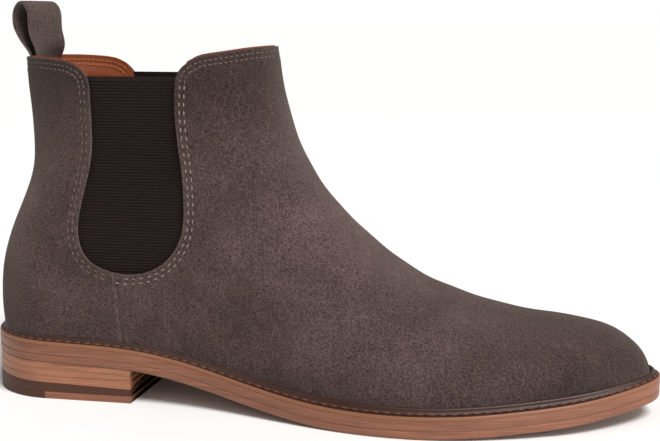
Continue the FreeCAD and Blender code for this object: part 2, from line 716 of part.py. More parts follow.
# Centre line of the strap from its front root, up over the top and down to its back root.
TAB_LOOP = [(24.9, 157), (25.6, 163), (26.0, 170), (24.3, 176), (20.4, 177.6),
            (16.6, 175.2), (15.2, 169.5), (17.2, 163), (20.6, 157)]
root_height = size("tab_root_height")
half_strap = size("tab_thick") / 2
centre_line = traced(TAB_LOOP)
outside_line = offset(centre_line, half_strap)[::TABLE_STEPS // 12]
inside_line = offset(centre_line, -half_strap)[::TABLE_STEPS // 12]
tab = doc.addObject("PartDesign::Body", "PullTab")
tab_sketch = tab.newObject("Sketcher::SketchObject", "StrapLoop")
tab_sketch.AttachmentSupport = [(plane_of(tab, "XZ_Plane"), "")]
tab_sketch.MapMode = "FlatFace"
root_mid = ((outside_line[0][0] + outside_line[-1][0]) / 2, root_height)
outer_edges = smooth_path(outside_line)
outer_edges.append(Part.Arc(flat(*outside_line[0]), flat(*root_mid),
                            flat(*outside_line[-1])))
inner_edges = smooth_path(inside_line) + line_path([inside_line[-1], inside_line[0]])
tab_sketch.addGeometry(outer_edges + inner_edges, False)
tab_pad = tab.newObject("PartDesign::Pad", "StrapPad")
tab_pad.Profile = tab_sketch
tab_pad.Midplane = True
tab_pad.setExpression("Length", "Sizes.tab_width")
tab.Placement = Placement(Vector(0, size("side_shift"), 0), Rotation())
keep("pull_tab", tab)

# ------------------------------------------------------------------ check and write

doc.recompute()
faults = ["%s: %s" % (o.Name, o.getStatusString()) for o in doc.Objects
          if "Invalid" in o.State or "Error" in o.State]
for node, feature in parts.items():
    if feature.Shape.isNull() or not feature.Shape.isValid():
        faults.append("%s: shape not valid" % node)
    elif feature.Shape.Volume < 1.0:
        faults.append("%s: no volume" % node)
if faults:
    raise RuntimeError("; ".join(faults))

os.makedirs("parts", exist_ok=True)
for node, feature in parts.items():
    feature.Shape.exportStep("parts/%s.step" % node)
    box = feature.Shape.BoundBox
    print("%-22s solids %d  x %7.2f %7.2f  y %7.2f %7.2f  z %7.2f %7.2f  %8.2f cm3" % (
        node, len(feature.Shape.Solids), box.XMin, box.XMax, box.YMin, box.YMax,
        box.ZMin, box.ZMax, feature.Shape.Volume / 1000))
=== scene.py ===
"""Chelsea boot, right foot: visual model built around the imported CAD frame.

Lengths are millimetres measured from the back edge of the heel (x), the centre line (y, inner
side positive) and the floor (z). Workshop.to_frame() turns them into the frame's metres.
"""
import logging
import math
from dataclasses import dataclass, field
from enum import Enum
from typing import Callable, Optional, Sequence

import bmesh
import bpy
import numpy as np
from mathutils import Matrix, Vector


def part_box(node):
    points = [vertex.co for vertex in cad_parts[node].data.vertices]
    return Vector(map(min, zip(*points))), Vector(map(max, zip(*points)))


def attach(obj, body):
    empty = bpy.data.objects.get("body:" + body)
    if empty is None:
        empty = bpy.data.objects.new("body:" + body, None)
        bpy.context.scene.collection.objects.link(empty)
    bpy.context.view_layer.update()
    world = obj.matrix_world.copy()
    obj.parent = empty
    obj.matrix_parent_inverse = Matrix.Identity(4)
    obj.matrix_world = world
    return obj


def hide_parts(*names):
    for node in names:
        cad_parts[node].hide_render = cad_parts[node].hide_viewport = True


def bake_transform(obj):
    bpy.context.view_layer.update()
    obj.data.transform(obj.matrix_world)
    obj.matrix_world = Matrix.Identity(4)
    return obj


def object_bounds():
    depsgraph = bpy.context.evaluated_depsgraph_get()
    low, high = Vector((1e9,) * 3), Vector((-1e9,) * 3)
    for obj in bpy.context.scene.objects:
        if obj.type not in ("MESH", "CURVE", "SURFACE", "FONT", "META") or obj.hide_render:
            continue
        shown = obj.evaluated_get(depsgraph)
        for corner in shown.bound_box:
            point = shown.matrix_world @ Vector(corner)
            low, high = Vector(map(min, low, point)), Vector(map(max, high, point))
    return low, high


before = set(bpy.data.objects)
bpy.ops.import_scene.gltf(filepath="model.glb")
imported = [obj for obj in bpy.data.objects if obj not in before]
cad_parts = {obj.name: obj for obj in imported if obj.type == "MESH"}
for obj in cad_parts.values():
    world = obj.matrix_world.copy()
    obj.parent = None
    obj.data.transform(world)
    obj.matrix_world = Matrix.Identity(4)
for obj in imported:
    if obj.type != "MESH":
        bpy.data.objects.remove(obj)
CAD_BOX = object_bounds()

log = logging.getLogger("boot")
Array = np.ndarray


class Side(Enum):
    """The two sides of the boot, as the sign of y."""

    LATERAL = -1
    MEDIAL = 1


# ---------------------------------------------------------------- curves and numbers


def smooth(low: float, high: float, x: Array) -> Array:
    """S-curve that is 0 at low and 1 at high; low may be the larger.

    Args:
        low: value of x where the result is 0.
        high: value of x where the result is 1.
        x: numbers to map.

    Returns:
        3u^2 - 2u^3 of the clipped share u.
    """
    u = np.clip((np.asarray(x, float) - low) / (high - low), 0.0, 1.0)
    return u * u * (3 - 2 * u)


def spline(points: Sequence[Sequence[float]], count: int, closed: bool = False) -> Array:
    """Cubic spline through points, with chord-length knots.

    Args:
        points: points of any dimension.
        count: number of samples.
        closed: joins the last point to the first smoothly.

    Returns:
        Samples, evenly spaced along the knots.
    """
    p = np.asarray(points, float)
    if closed:
        p = np.vstack([p, p[:1]])
    knot = np.r_[0, np.cumsum(np.linalg.norm(np.diff(p, axis=0), axis=1))]
    n, h = len(p), np.diff(knot)
    matrix, right = np.eye(n), np.zeros_like(p)
    slope = np.diff(p, axis=0) / h[:, None]
    for i in range(1, n - 1):
        matrix[i, i - 1:i + 2] = h[i - 1], 2 * (h[i - 1] + h[i]), h[i]
        right[i] = 6 * (slope[i] - slope[i - 1])
    if closed:
        matrix[0, [0, 1, -2]] = 2 * (h[-1] + h[0]), h[0], h[-1]
        right[0] = 6 * (slope[0] - slope[-1])
        matrix[-1, [0, -1]] = -1, 1
    curve = np.linalg.solve(matrix, right)
    at = np.linspace(0, knot[-1], count)
    i = np.clip(np.searchsorted(knot, at, side="right") - 1, 0, n - 2)
    a, b, w = (knot[i + 1] - at)[:, None], (at - knot[i])[:, None], h[i][:, None]
    return ((curve[i] * a ** 3 + curve[i + 1] * b ** 3) / (6 * w)
            + (p[i] / w - curve[i] * w / 6) * a + (p[i + 1] / w - curve[i + 1] * w / 6) * b)


def along(path: Array, share: Array) -> Array:
    """Points of a polyline at shares of its length.

    Args:
        path: polyline points.
        share: numbers from 0 to 1.

    Returns:
        One point per share.
    """
    run = np.r_[0, np.cumsum(np.linalg.norm(np.diff(path, axis=0), axis=1))]
    at = np.asarray(share) * run[-1]
    return np.stack([np.interp(at, run, path[:, k]) for k in range(path.shape[1])], -1)


def shifted(path: Array, distance: float) -> Array:
    """Plane polyline moved to the right of its travel by a distance."""
    t = np.gradient(path, axis=0)
    t /= np.maximum(np.linalg.norm(t, axis=1), 1e-9)[:, None]
    return path + np.stack([t[:, 1], -t[:, 0]], 1) * distance


def unit(v: Array) -> Array:
    """Vectors scaled to length 1."""
    return v / np.maximum(np.linalg.norm(v, axis=-1, keepdims=True), 1e-12)


def distance_to(path: Array, x: Array, z: Array) -> Array:
    """Side-view distance of each point (x, z) to a polyline's closest sample."""
    best = np.full(np.shape(x), 1e9)
    for px, pz in along(path, np.linspace(0, 1, 260)):
        best = np.minimum(best, np.hypot(x - px, z - pz))
    return best


# ---------------------------------------------------------------- the last and the pattern


@dataclass
class Last:
    """Outer form of the boot: a height-and-width law read from a few profile points."""

    ridge: Sequence = ((301.6, -8), (301.5, 6), (301.2, 16.5), (299.4, 23.6),
                       (295.6, 29.6), (289.2, 34.8), (279, 39.2), (264, 42), (248, 43.4),
                       (232, 46.4), (216, 51), (202.4, 56.4), (191, 63.4), (178.9, 72.5),
                       (167, 83.6), (157.2, 94.3), (150, 105), (144.2, 117), (140, 130),
                       (137.2, 143), (134.6, 158), (132.5, 176))
    back: Sequence = ((4.2, -12), (3.8, 20), (2.4, 34), (2, 46), (3, 58), (6.2, 70),
                      (11, 82), (15.8, 94), (19, 105), (19.6, 115), (18.9, 128),
                      (18, 140), (17.4, 152), (17.2, 176))
    tread: Sequence = ((0, 18), (40, 16.8), (75, 15), (100, 11.1), (125, 6.1), (150, 2.1),
                       (175, 0.2), (198, 0), (222, 0.5), (250, 2.2), (280, 4.9),
                       (305, 8.5))
    outer: Sequence = ((0, 31), (40, 31.4), (75, 30.5), (105, 31.5), (135, 37),
                       (165, 44.5), (195, 49.3), (215, 48.5), (235, 44), (255, 36.5),
                       (273, 27.5), (288, 17.5), (297, 9), (301, 2.5), (302, -3.5))
    inner: Sequence = ((0, 31), (40, 31.4), (75, 29), (105, 27.5), (135, 31),
                       (165, 38.5), (195, 45), (215, 46.5), (235, 44.5), (255, 39.5),
                       (273, 32), (288, 23.5), (297, 15.5), (301, 9), (302, 3.5))
    length: float = 305.0
    seat_rise: float = 10.0
    shaft_half: float = 29.6
    tip_side: float = 3.5
    toe_turn: Sequence[float] = (230, 302)      # stations where the centre line swings
    shaft_foot: float = 12.0                    # above the feather edge: plan turns to oval
    shaft_rise: float = 75.0
    shaft_stations: Sequence[float] = (190, 120)
    swell: Sequence[float] = (0.03, 14, 10)     # share, height and spread of the side swell
    upright: Sequence[float] = (80, 125)        # heights where a foot turns into a shaft
    back_reach: float = 30.0                    # depth of the rounding behind, low down
    back_growth: float = 12.0                   # and how much deeper it is at the collar
    front_reach: float = 38.0
    round_power: float = 2.1
    crown_power: float = 2.3

    def __post_init__(self) -> None:
        """Samples the profile curves once."""
        self.ridge_line = spline(self.ridge, 600)
        self.back_line = spline(self.back, 500)
        self._tread = spline(self.tread, 400)
        self._plans = {Side.LATERAL: spline(self.outer, 500),
                       Side.MEDIAL: spline(self.inner, 500)}

    def tread_at(self, x: Array) -> Array:
        """Height of the outsole's underside at stations x."""
        return np.interp(np.clip(x, 0, self.length), self._tread[:, 0], self._tread[:, 1])

    def seat_at(self, x: Array) -> Array:
        """Height of the feather edge, where the upper meets the welt."""
        return self.tread_at(x) + self.seat_rise

    def back_at(self, z: Array) -> Array:
        """Station of the back centre line at heights z."""
        return np.interp(z, self.back_line[:, 1], self.back_line[:, 0])

    def front_at(self, z: Array) -> Array:
        """Station of the front centre line at heights z."""
        return np.interp(z, self.ridge_line[:, 1], self.ridge_line[:, 0])

    def top_at(self, x: Array) -> Array:
        """Height of the front centre line at stations x."""
        line = self.ridge_line[::-1]
        return np.interp(x, line[:, 0], line[:, 1])

    def centre(self, x: Array) -> Array:
        """Sideways place of the centre line, which swings inwards at the toe."""
        return self.tip_side * smooth(*self.toe_turn, x)

    def half_width(self, x: Array, z: Array, side: Side) -> Array:
        """Distance from the centre line to the outer face.

        The feather edge's plan width turns into the shaft's oval with height. It is
        rounded at the back and front by superellipses and over the vamp by a crown.

        Args:
            x: stations.
            z: heights.
            side: which half.

        Returns:
            Half widths, 0 outside the form.
        """
        plan = self._plans[side]
        wide = np.interp(x, plan[:, 0], plan[:, 1]) - side.value * self.centre(x)
        above = z - self.seat_at(x)
        shaft = (smooth(0, 1, (above - self.shaft_foot) / self.shaft_rise)
                 * smooth(*self.shaft_stations, x))
        wide = wide * (1 - shaft) + self.shaft_half * shaft
        share, height, spread = self.swell
        wide = wide * (1 + share * np.exp(-((above - height) / spread) ** 2))
        high = smooth(*self.upright, z)
        u = np.clip((x - self.back_at(z)) / (self.back_reach + self.back_growth * high), 0, 1)
        back_round = np.sqrt(np.clip(1 - (1 - u) ** self.round_power, 0, 1))
        rise = np.maximum(self.top_at(x) - self.seat_at(x), 1e-3)
        crown = np.sqrt(np.clip(1 - np.clip(above / rise, 0, 1) ** self.crown_power, 0, 1))
        v = np.clip((self.front_at(z) - x) / self.front_reach, 0, 1)
        front_round = np.sqrt(np.clip(1 - (1 - v) ** self.round_power, 0, 1))
        return (np.maximum(wide, 0) * back_round
                * crown ** (1 - high) * front_round ** high)

    def on_face(self, x: Array, z: Array, side: Side) -> Array:
        """Points of the outer face at side-view places, as (..., 3)."""
        y = self.centre(x) + side.value * self.half_width(x, z, side)
        return np.stack(np.broadcast_arrays(x, y, z), -1).astype(float)

    def normal(self, x: Array, z: Array, side: Side) -> Array:
        """Outward normals of the outer face, from small differences of its width."""
        e = 0.2
        dx = (self.half_width(x + e, z, side) - self.half_width(x - e, z, side)) / (2 * e)
        dz = (self.half_width(x, z + e, side) - self.half_width(x, z - e, side)) / (2 * e)
        return unit(np.stack([-dx, np.full_like(dx, float(side.value)), -dz], -1))


LAST = Last()
TUCK = 0.4          # the upper's lower edge lies this far under the feather edge


@dataclass
class Pattern:
    """Side-view cut lines of the upper's pieces."""

    gore_edge: Sequence = ((57.2, 140), (57.8, 124), (56.9, 111), (54.3, 100), (51.2, 88.7),
                           (49.8, 75), (53.8, 65), (63, 59.6), (75, 58), (86.7, 61),
                           (94.8, 68), (99.1, 77), (99.9, 90), (99.2, 105), (97.7, 123),
                           (97.2, 133), (97.8, 143))
    low_x: float = 67.8
    gore_top: float = 145.4
    seam_foot_x: float = 71.4
    back_corner: Sequence = ((57.2, 140), (56.2, 145), (52.8, 149))
    back_top: Sequence = ((52.8, 149), (48, 151.2), (42, 152.2), (30, 152.9),
                          (17.4, 152.9))
    front_corner: Sequence = ((97.8, 143), (99.2, 147.8), (102.6, 151.3))
    front_top: Sequence = ((102.6, 151.3), (107.4, 153.7), (113, 154.9), (121, 156.1),
                           (128, 157.2), (134.6, 157.9))

    def __post_init__(self) -> None:
        """Splits the gore edge at its low point above the side seam."""
        edge = spline(self.gore_edge, 500)
        low = int(np.argmin(np.abs(edge[:, 0] - self.low_x) + 10 * (edge[:, 1] > 70)))
        self.gore_back = edge[:low + 1][::-1]
        self.gore_front = edge[low:]
        self.gore_line = edge

    def seam(self) -> Array:
        """Side seam from the feather edge up to the gore."""
        foot = (self.seam_foot_x, float(LAST.seat_at(self.seam_foot_x)) - TUCK)
        return np.array([foot, (69.6, 42.0), tuple(self.gore_front[0])])

    def vamp_side(self) -> Array:
        """Rear border of the vamp: seam, front of the gore and collar corner."""
        return np.vstack([self.seam(), self.gore_front[1:], spline(self.front_corner, 40)[1:]])

    def quarter_side(self) -> Array:
        """Front border of the quarter: seam, back of the gore and collar corner."""
        return np.vstack([self.seam(), self.gore_back[1:], spline(self.back_corner, 40)[1:]])

    def front_topline(self) -> Array:
        """Collar edge of the vamp, from its corner to the front centre line."""
        return spline(self.front_top, 160)

    def back_topline(self) -> Array:
        """Collar edge of the quarter, from its corner to the back centre line."""
        return spline(self.back_top, 160)


PATTERN = Pattern()
# The gores let the back of the shaft lean about this line; the pieces behind them are baked in
# place, not bent.
BEND_START, BEND_END = (60.0, 0.0, 111.8), (42.5, 0.0, 131.2)


# ---------------------------------------------------------------- meshes and the frame


def placed(name: str, data: bpy.types.ID) -> bpy.types.Object:
    """New object for a camera, lamp or mesh, linked to the scene."""
    made = bpy.data.objects.new(name, data)
    bpy.context.scene.collection.objects.link(made)
    return made


class Workshop:
    """Turns millimetre shapes into finished pieces that ride on the frame."""

    def __init__(self) -> None:
        """Reads the origin from the CAD pieces."""
        low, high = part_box("pull_tab")
        heel_low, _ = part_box("heel_rubber")
        self.origin = np.array([heel_low[0], (low[1] + high[1]) / 2, CAD_BOX[0][2]])
        self.pieces = 0

    def to_frame(self, points: Array) -> Array:
        """Millimetres from the heel to the frame's metres."""
        return np.asarray(points, float) / 1000 + self.origin

    def mesh(self, name: str, points: Array, faces: Array, values: Optional[dict] = None,
             sharp: float = 0.0, triangles: Optional[Array] = None) -> bpy.types.Object:
        """Makes an object from arrays.

        Args:
            name: the piece's name.
            points: vertices in millimetres.
            faces: vertex numbers, four a face.
            values: per-vertex attributes by name.
            sharp: angle in degrees past which an edge is shaded sharp; 0 is none.
            triangles: vertex numbers of the faces that have three.

        Returns:
            The new object, with its place in its mesh.
        """
        mesh = bpy.data.meshes.new(name)
        every = faces.tolist() + ([] if triangles is None else triangles.tolist())
        mesh.from_pydata(self.to_frame(points).tolist(), [], every)
        for key, value in (values or {}).items():
            layer = mesh.attributes.new(key, "FLOAT", "POINT")
            layer.data.foreach_set("value", np.asarray(value, np.float32).ravel())
        mesh.shade_smooth()
        if sharp:
            mesh.set_sharp_from_angle(angle=math.radians(sharp))
        mesh.validate()
        piece = placed(name, mesh)
        self.pieces += 1
        log.info("%s: %d vertices, %d faces", name, len(points), len(every))
        return piece

    def finish(self, piece: bpy.types.Object, material: bpy.types.Material, slot: str,
               body: str = "boot", stands_for: Sequence[str] = (),
               bend: bool = False) -> bpy.types.Object:
        """Gives a piece its material and attaches it to its body, or bakes it in place.

        Args:
            piece: the object.
            material: its finish.
            slot: not used.
            body: the body it is attached to when bend is off.
            stands_for: CAD nodes that it replaces.
            bend: bakes the piece in place instead of attaching it to a body.

        Returns:
            The same object.
        """
        piece.data.materials.append(material)
        if stands_for:
            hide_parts(*stands_for)
        if bend:
            start, end = self.to_frame([BEND_START, BEND_END])
            tuple(start)
            tuple(end)
            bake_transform(piece)
        else:
            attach(piece, body)
        return piece


def grid_faces(rows: int, columns: int, start: int = 0, flip: bool = False) -> Array:
    """Quads of a rows x columns vertex grid, numbered from start."""
    i = np.arange(rows * columns).reshape(rows, columns) + start
    quads = np.stack([i[:-1, :-1], i[1:, :-1], i[1:, 1:], i[:-1, 1:]], -1).reshape(-1, 4)
    return quads[:, ::-1] if flip else quads


def bridge(first: Array, second: Array, closed: bool = True) -> Array:
    """Quads between two equal rows of vertex numbers."""
    if closed:
        first, second = np.r_[first, first[:1]], np.r_[second, second[:1]]
    return np.stack([first[:-1], first[1:], second[1:], second[:-1]], -1)


def perimeter(rows: int, columns: int) -> Array:
    """Vertex numbers round a grid's border, in order."""
    i = np.arange(rows * columns).reshape(rows, columns)
    return np.r_[i[:, 0], i[-1, 1:], i[-2::-1, -1], i[0, -2:0:-1]]


def coons(bottom: Array, top: Array, left: Array, right: Array,
          s: Array, t: Array) -> Array:
    """Plane grid filling four borders: the sum of both ruled fills less the corner fill."""
    a, b = s[:, None, None], t[None, :, None]
    corners = ((1 - a) * (1 - b) * bottom[0] + a * (1 - b) * bottom[-1]
               + (1 - a) * b * top[0] + a * b * top[-1])
    return ((1 - b) * bottom[:, None] + b * top[:, None]
            + (1 - a) * left[None] + a * right[None] - corners)


def eased(count: int, start: float, end: float) -> Array:
    """Shares from 0 to 1 packed towards the ends; start and end are powers, 1 is even."""
    u = np.linspace(0, 1, count)
    low, high = u ** start, 1 - (1 - u) ** end
    return low * (1 - u) + high * u


# ---------------------------------------------------------------- finishes


def linear(hex_colour: str) -> tuple[float, float, float, float]:
    """sRGB hex such as '#a0b1c2' to linear RGBA."""
    raw = [int(hex_colour[i:i + 2], 16) / 255 for i in (1, 3, 5)]
    return (*[c / 12.92 if c <= 0.04045 else ((c + 0.055) / 1.055) ** 2.4 for c in raw], 1.0)


def node(tree: bpy.types.NodeTree, kind: str, links: Optional[dict] = None,
         **settings: object) -> bpy.types.Node:
    """Adds one shader node.

    Args:
        tree: the material's tree.
        kind: node type.
        links: input name or number to a value or another node's output.
        settings: node properties.

    Returns:
        The node.
    """
    made = tree.nodes.new(kind)
    for key, value in settings.items():
        setattr(made, key, value)
    for key, value in (links or {}).items():
        if isinstance(value, bpy.types.NodeSocket):
            tree.links.new(value, made.inputs[key])
        else:
            made.inputs[key].default_value = value
    return made


@dataclass(frozen=True)
class Finish:
    """A material with one principled shader; subclasses add what the surface shows.

    mottle: size in metres of the faint light and dark spots of a plain surface.
    """

    name: str
    colour: str
    rough: float = 0.6
    specular: float = 0.5
    metallic: float = 0.0
    mottle: float = 0.0025

    def make(self) -> bpy.types.Material:
        """Builds the material and returns it."""
        material = bpy.data.materials.new(self.name)
        material.use_nodes = True
        tree = material.node_tree
        shader = tree.nodes["Principled BSDF"]
        shader.inputs["Base Color"].default_value = linear(self.colour)
        shader.inputs["Roughness"].default_value = self.rough
        shader.inputs["Metallic"].default_value = self.metallic
        if not self.metallic:
            shader.inputs["Specular IOR Level"].default_value = self.specular
        place = node(tree, "ShaderNodeTexCoord").outputs["Object"]
        self.detail(tree, shader, place)
        return material

    def detail(self, tree: bpy.types.NodeTree, shader: bpy.types.Node,
               place: bpy.types.NodeSocket) -> None:
        """Adds colour variation and relief; the plain finish has a faint mottle."""
        spots = node(tree, "ShaderNodeTexNoise", {"Vector": place,
                                                  "Scale": 1 / self.mottle, "Detail": 4.0})
        tint = node(tree, "ShaderNodeMix", {0: spots.outputs["Fac"],
                                            6: shade(self.colour, 0.82),
                                            7: shade(self.colour, 1.15)}, data_type="RGBA")
        tree.links.new(tint.outputs[2], shader.inputs["Base Color"])
        bump = node(tree, "ShaderNodeBump", {"Height": spots.outputs["Fac"],
                                             "Strength": 0.2, "Distance": 0.0002})
        tree.links.new(bump.outputs["Normal"], shader.inputs["Normal"])


def shade(hex_colour: str, factor: float) -> tuple[float, float, float, float]:
    """A hex colour made lighter or darker, as linear RGBA."""
    r, g, b, a = linear(hex_colour)
    return (min(r * factor, 1.0), min(g * factor, 1.0), min(b * factor, 1.0), a)


@dataclass(frozen=True)
class Suede(Finish):
    """Split leather, sanded to a nap: matt, with a soft sheen, speckle and brushed patches.

    nap: size of one tuft in metres; a real nap is finer, this is as coarse as it shows.
    patch: size of the brushed light and dark patches in metres.
    painted_light_upper: whether the mesh's painted light and shade (a lit instep, a shaded
    collar and toe) is used.
    """

    nap: float = 0.00036
    patch: float = 0.019
    painted_light_upper: bool = True

    def detail(self, tree: bpy.types.NodeTree, shader: bpy.types.Node,
               place: bpy.types.NodeSocket) -> None:
        """Speckle from tufts, patches from brushing, painted light and shade from the mesh, and
        pale raw cut edges with a painted highlight along the side seam.

        Two noises of different size multiply the brushed colour, so single hairs and
        clumps both show. The same noises raise the surface.
        """
        tuft = node(tree, "ShaderNodeTexNoise", {"Vector": place, "Scale": 0.5 / self.nap,
                                                 "Detail": 6.0, "Roughness": 0.85})
        lean = node(tree, "ShaderNodeMapping", {"Vector": place, "Scale": (1.0, 1.0, 0.45),
                                                "Rotation": (0.0, 0.6, 0.0)})
        clump = node(tree, "ShaderNodeTexNoise", {"Vector": lean.outputs[0],
                                                  "Scale": 0.22 / self.nap, "Detail": 6.0,
                                                  "Roughness": 0.75, "Distortion": 0.5})
        patch = node(tree, "ShaderNodeTexNoise", {"Vector": place,
                                                  "Scale": 0.5 / self.patch, "Detail": 4.0,
                                                  "Roughness": 0.6, "Distortion": 0.6})
        brushed = node(tree, "ShaderNodeValToRGB", {"Fac": patch.outputs["Fac"]})
        for stop, (at, tone) in zip(brushed.color_ramp.elements, ((0.3, 0.74), (0.7, 1.32))):
            stop.position, stop.color = at, shade(self.colour, tone)
        hairs = node(tree, "ShaderNodeMapRange", {"Value": tuft.outputs["Fac"], 1: 0.38,
                                                  2: 0.62, 3: 0.1, 4: 2.0})
        clumps = node(tree, "ShaderNodeMapRange", {"Value": clump.outputs["Fac"], 1: 0.33,
                                                   2: 0.67, 3: 0.8, 4: 1.2})
        grain = node(tree, "ShaderNodeMath", {0: hairs.outputs[0], 1: clumps.outputs[0]},
                     operation="MULTIPLY")
        # painted light and shade: the mesh's tone lightens the instep and darkens the collar and
        # toe
        if self.painted_light_upper:
            tone = node(tree, "ShaderNodeAttribute", attribute_name="painted_light_tone")
            grain = node(tree, "ShaderNodeMath", {0: grain.outputs[0],
                                                  1: tone.outputs["Fac"]},
                         operation="MULTIPLY")
        # pale raw cut edges, plus a painted highlight where the mesh marks the side seam
        edge = node(tree, "ShaderNodeAttribute", attribute_name="raw_edge_and_seam_highlight")
        pale = node(tree, "ShaderNodeMix", {0: edge.outputs["Fac"],
                                            6: brushed.outputs["Color"],
                                            7: linear("#74645d")}, data_type="RGBA")
        speckled = node(tree, "ShaderNodeVectorMath", {0: pale.outputs[2],
                                                       "Scale": grain.outputs[0]},
                        operation="SCALE")
        tree.links.new(speckled.outputs[0], shader.inputs["Base Color"])
        shader.inputs["Sheen Weight"].default_value = 0.3
        shader.inputs["Sheen Roughness"].default_value = 0.45
        shader.inputs["Sheen Tint"].default_value = linear("#c9b8aa")
        height = node(tree, "ShaderNodeMath", {0: tuft.outputs["Fac"],
                                               1: clump.outputs["Fac"]}, operation="ADD")
        rough = node(tree, "ShaderNodeBump", {"Height": height.outputs[0],
                                              "Strength": 0.8, "Distance": 0.0006})
        wide = node(tree, "ShaderNodeBump", {"Height": patch.outputs["Fac"],
                                             "Strength": 0.3, "Distance": 0.0015,
                                             "Normal": rough.outputs["Normal"]})
        tree.links.new(wide.outputs["Normal"], shader.inputs["Normal"])


@dataclass(frozen=True)
class SmoothLeather(Finish):
    """Full-grain leather: pores about grain metres apart, cloudy dye, a waxed gloss.

    Thread uses it too, with the pores as fine as its twist.
    """

    grain: float = 0.0007
    relief: float = 0.3

    def detail(self, tree: bpy.types.NodeTree, shader: bpy.types.Node,
               place: bpy.types.NodeSocket) -> None:
        """Pore cells for relief, cloudy dye for colour, uneven gloss."""
        pores = node(tree, "ShaderNodeTexVoronoi", {"Vector": place,
                                                    "Scale": 1 / self.grain})
        cloud = node(tree, "ShaderNodeTexNoise", {"Vector": place, "Scale": 70.0,
                                                  "Detail": 6.0, "Roughness": 0.6})
        tint = node(tree, "ShaderNodeMix", {0: cloud.outputs["Fac"],
                                            6: shade(self.colour, 0.72),
                                            7: shade(self.colour, 1.3)}, data_type="RGBA")
        tree.links.new(tint.outputs[2], shader.inputs["Base Color"])
        gloss = node(tree, "ShaderNodeMapRange", {"Value": cloud.outputs["Fac"],
                                                  3: self.rough - 0.08,
                                                  4: self.rough + 0.12})
        tree.links.new(gloss.outputs[0], shader.inputs["Roughness"])
        bump = node(tree, "ShaderNodeBump", {"Height": pores.outputs["Distance"],
                                             "Strength": self.relief,
                                             "Distance": 0.00015})
        tree.links.new(bump.outputs["Normal"], shader.inputs["Normal"])


@dataclass(frozen=True)
class Welt(SmoothLeather):
    """Dyed and waxed strip whose trimmed wall keeps the natural leather colour."""

    natural: str = "#875639"

    def detail(self, tree: bpy.types.NodeTree, shader: bpy.types.Node,
               place: bpy.types.NodeSocket) -> None:
        """The smooth leather, mixed with the natural colour where the mesh says so."""
        super().detail(tree, shader, place)
        dyed = shader.inputs["Base Color"].links[0].from_socket
        wall = node(tree, "ShaderNodeAttribute", attribute_name="natural")
        mixed = node(tree, "ShaderNodeMix", {0: wall.outputs["Fac"], 6: dyed,
                                             7: linear(self.natural)}, data_type="RGBA")
        tree.links.new(mixed.outputs[2], shader.inputs["Base Color"])


@dataclass(frozen=True)
class CutLeatherEdge(Finish):
    """Sole leather trimmed and waxed: fine fibres lie in layers along the cut edge.

    layer: thickness of one fibre layer in metres; real fibres are finer than would show.
    contrast: how much lighter and darker than the mean the layers are.
    """

    layer: float = 0.0007
    contrast: float = 0.3

    def detail(self, tree: bpy.types.NodeTree, shader: bpy.types.Node,
               place: bpy.types.NodeSocket) -> None:
        """Noise squeezed in height for the layers, with long cloudy stains.

        A fibre runs about 22 mm along the edge; a stain is about 36 mm long, 7 mm high.
        """
        flat = node(tree, "ShaderNodeMapping", {"Vector": place,
                                                "Scale": (45.0, 45.0, 1 / self.layer)})
        fibre = node(tree, "ShaderNodeTexNoise", {"Vector": flat.outputs[0], "Scale": 1.0,
                                                  "Detail": 6.0, "Roughness": 0.65})
        wide = node(tree, "ShaderNodeMapping", {"Vector": place,
                                                "Scale": (28.0, 28.0, 150.0)})
        stain = node(tree, "ShaderNodeTexNoise", {"Vector": wide.outputs[0], "Scale": 1.0,
                                                  "Detail": 5.0})
        low, high = 1 - self.contrast, 1 + self.contrast
        tone = node(tree, "ShaderNodeMapRange", {"Value": fibre.outputs["Fac"], 1: 0.3,
                                                 2: 0.7, 3: low, 4: high})
        cloud = node(tree, "ShaderNodeMix", {0: stain.outputs["Fac"],
                                             6: shade(self.colour, 0.78),
                                             7: shade(self.colour, 1.24)},
                     data_type="RGBA")
        layered = node(tree, "ShaderNodeVectorMath", {0: cloud.outputs[2],
                                                      "Scale": tone.outputs[0]},
                       operation="SCALE")
        tree.links.new(layered.outputs[0], shader.inputs["Base Color"])
        bump = node(tree, "ShaderNodeBump", {"Height": fibre.outputs["Fac"],
                                             "Strength": 0.25, "Distance": 0.00012})
        tree.links.new(bump.outputs["Normal"], shader.inputs["Normal"])


@dataclass(frozen=True)
class Webbing(Finish):
    """Woven elastic: fine warp threads across the ribs, slightly shiny polyester.

    thread: thread spacing in metres.
    """

    thread: float = 0.0006

    def detail(self, tree: bpy.types.NodeTree, shader: bpy.types.Node,
               place: bpy.types.NodeSocket) -> None:
        """Thread waves along the boot, broken up by noise; ribs are in the mesh."""
        wave = node(tree, "ShaderNodeTexWave", {"Vector": place,
                                                "Scale": 1 / self.thread / 6.28,
                                                "Distortion": 1.2, "Detail": 2.0},
                    bands_direction="X")
        fuzz = node(tree, "ShaderNodeTexNoise", {"Vector": place, "Scale": 900.0,
                                                 "Detail": 4.0})
        tint = node(tree, "ShaderNodeMix", {0: fuzz.outputs["Fac"],
                                            6: shade(self.colour, 0.6),
                                            7: shade(self.colour, 1.5)}, data_type="RGBA")
        # painted light and shade: rib crests lighter, the hollows between them and the fold
        # under the top band darker
        rib = node(tree, "ShaderNodeAttribute", attribute_name="rib")
        lit = node(tree, "ShaderNodeMapRange", {"Value": rib.outputs["Fac"], 3: 0.45,
                                                4: 1.25})
        shaded = node(tree, "ShaderNodeVectorMath", {0: tint.outputs[2],
                                                     "Scale": lit.outputs[0]},
                      operation="SCALE")
        tree.links.new(shaded.outputs[0], shader.inputs["Base Color"])
        bump = node(tree, "ShaderNodeBump", {"Height": wave.outputs["Fac"],
                                             "Strength": 0.3, "Distance": 0.0001})
        tree.links.new(bump.outputs["Normal"], shader.inputs["Normal"])


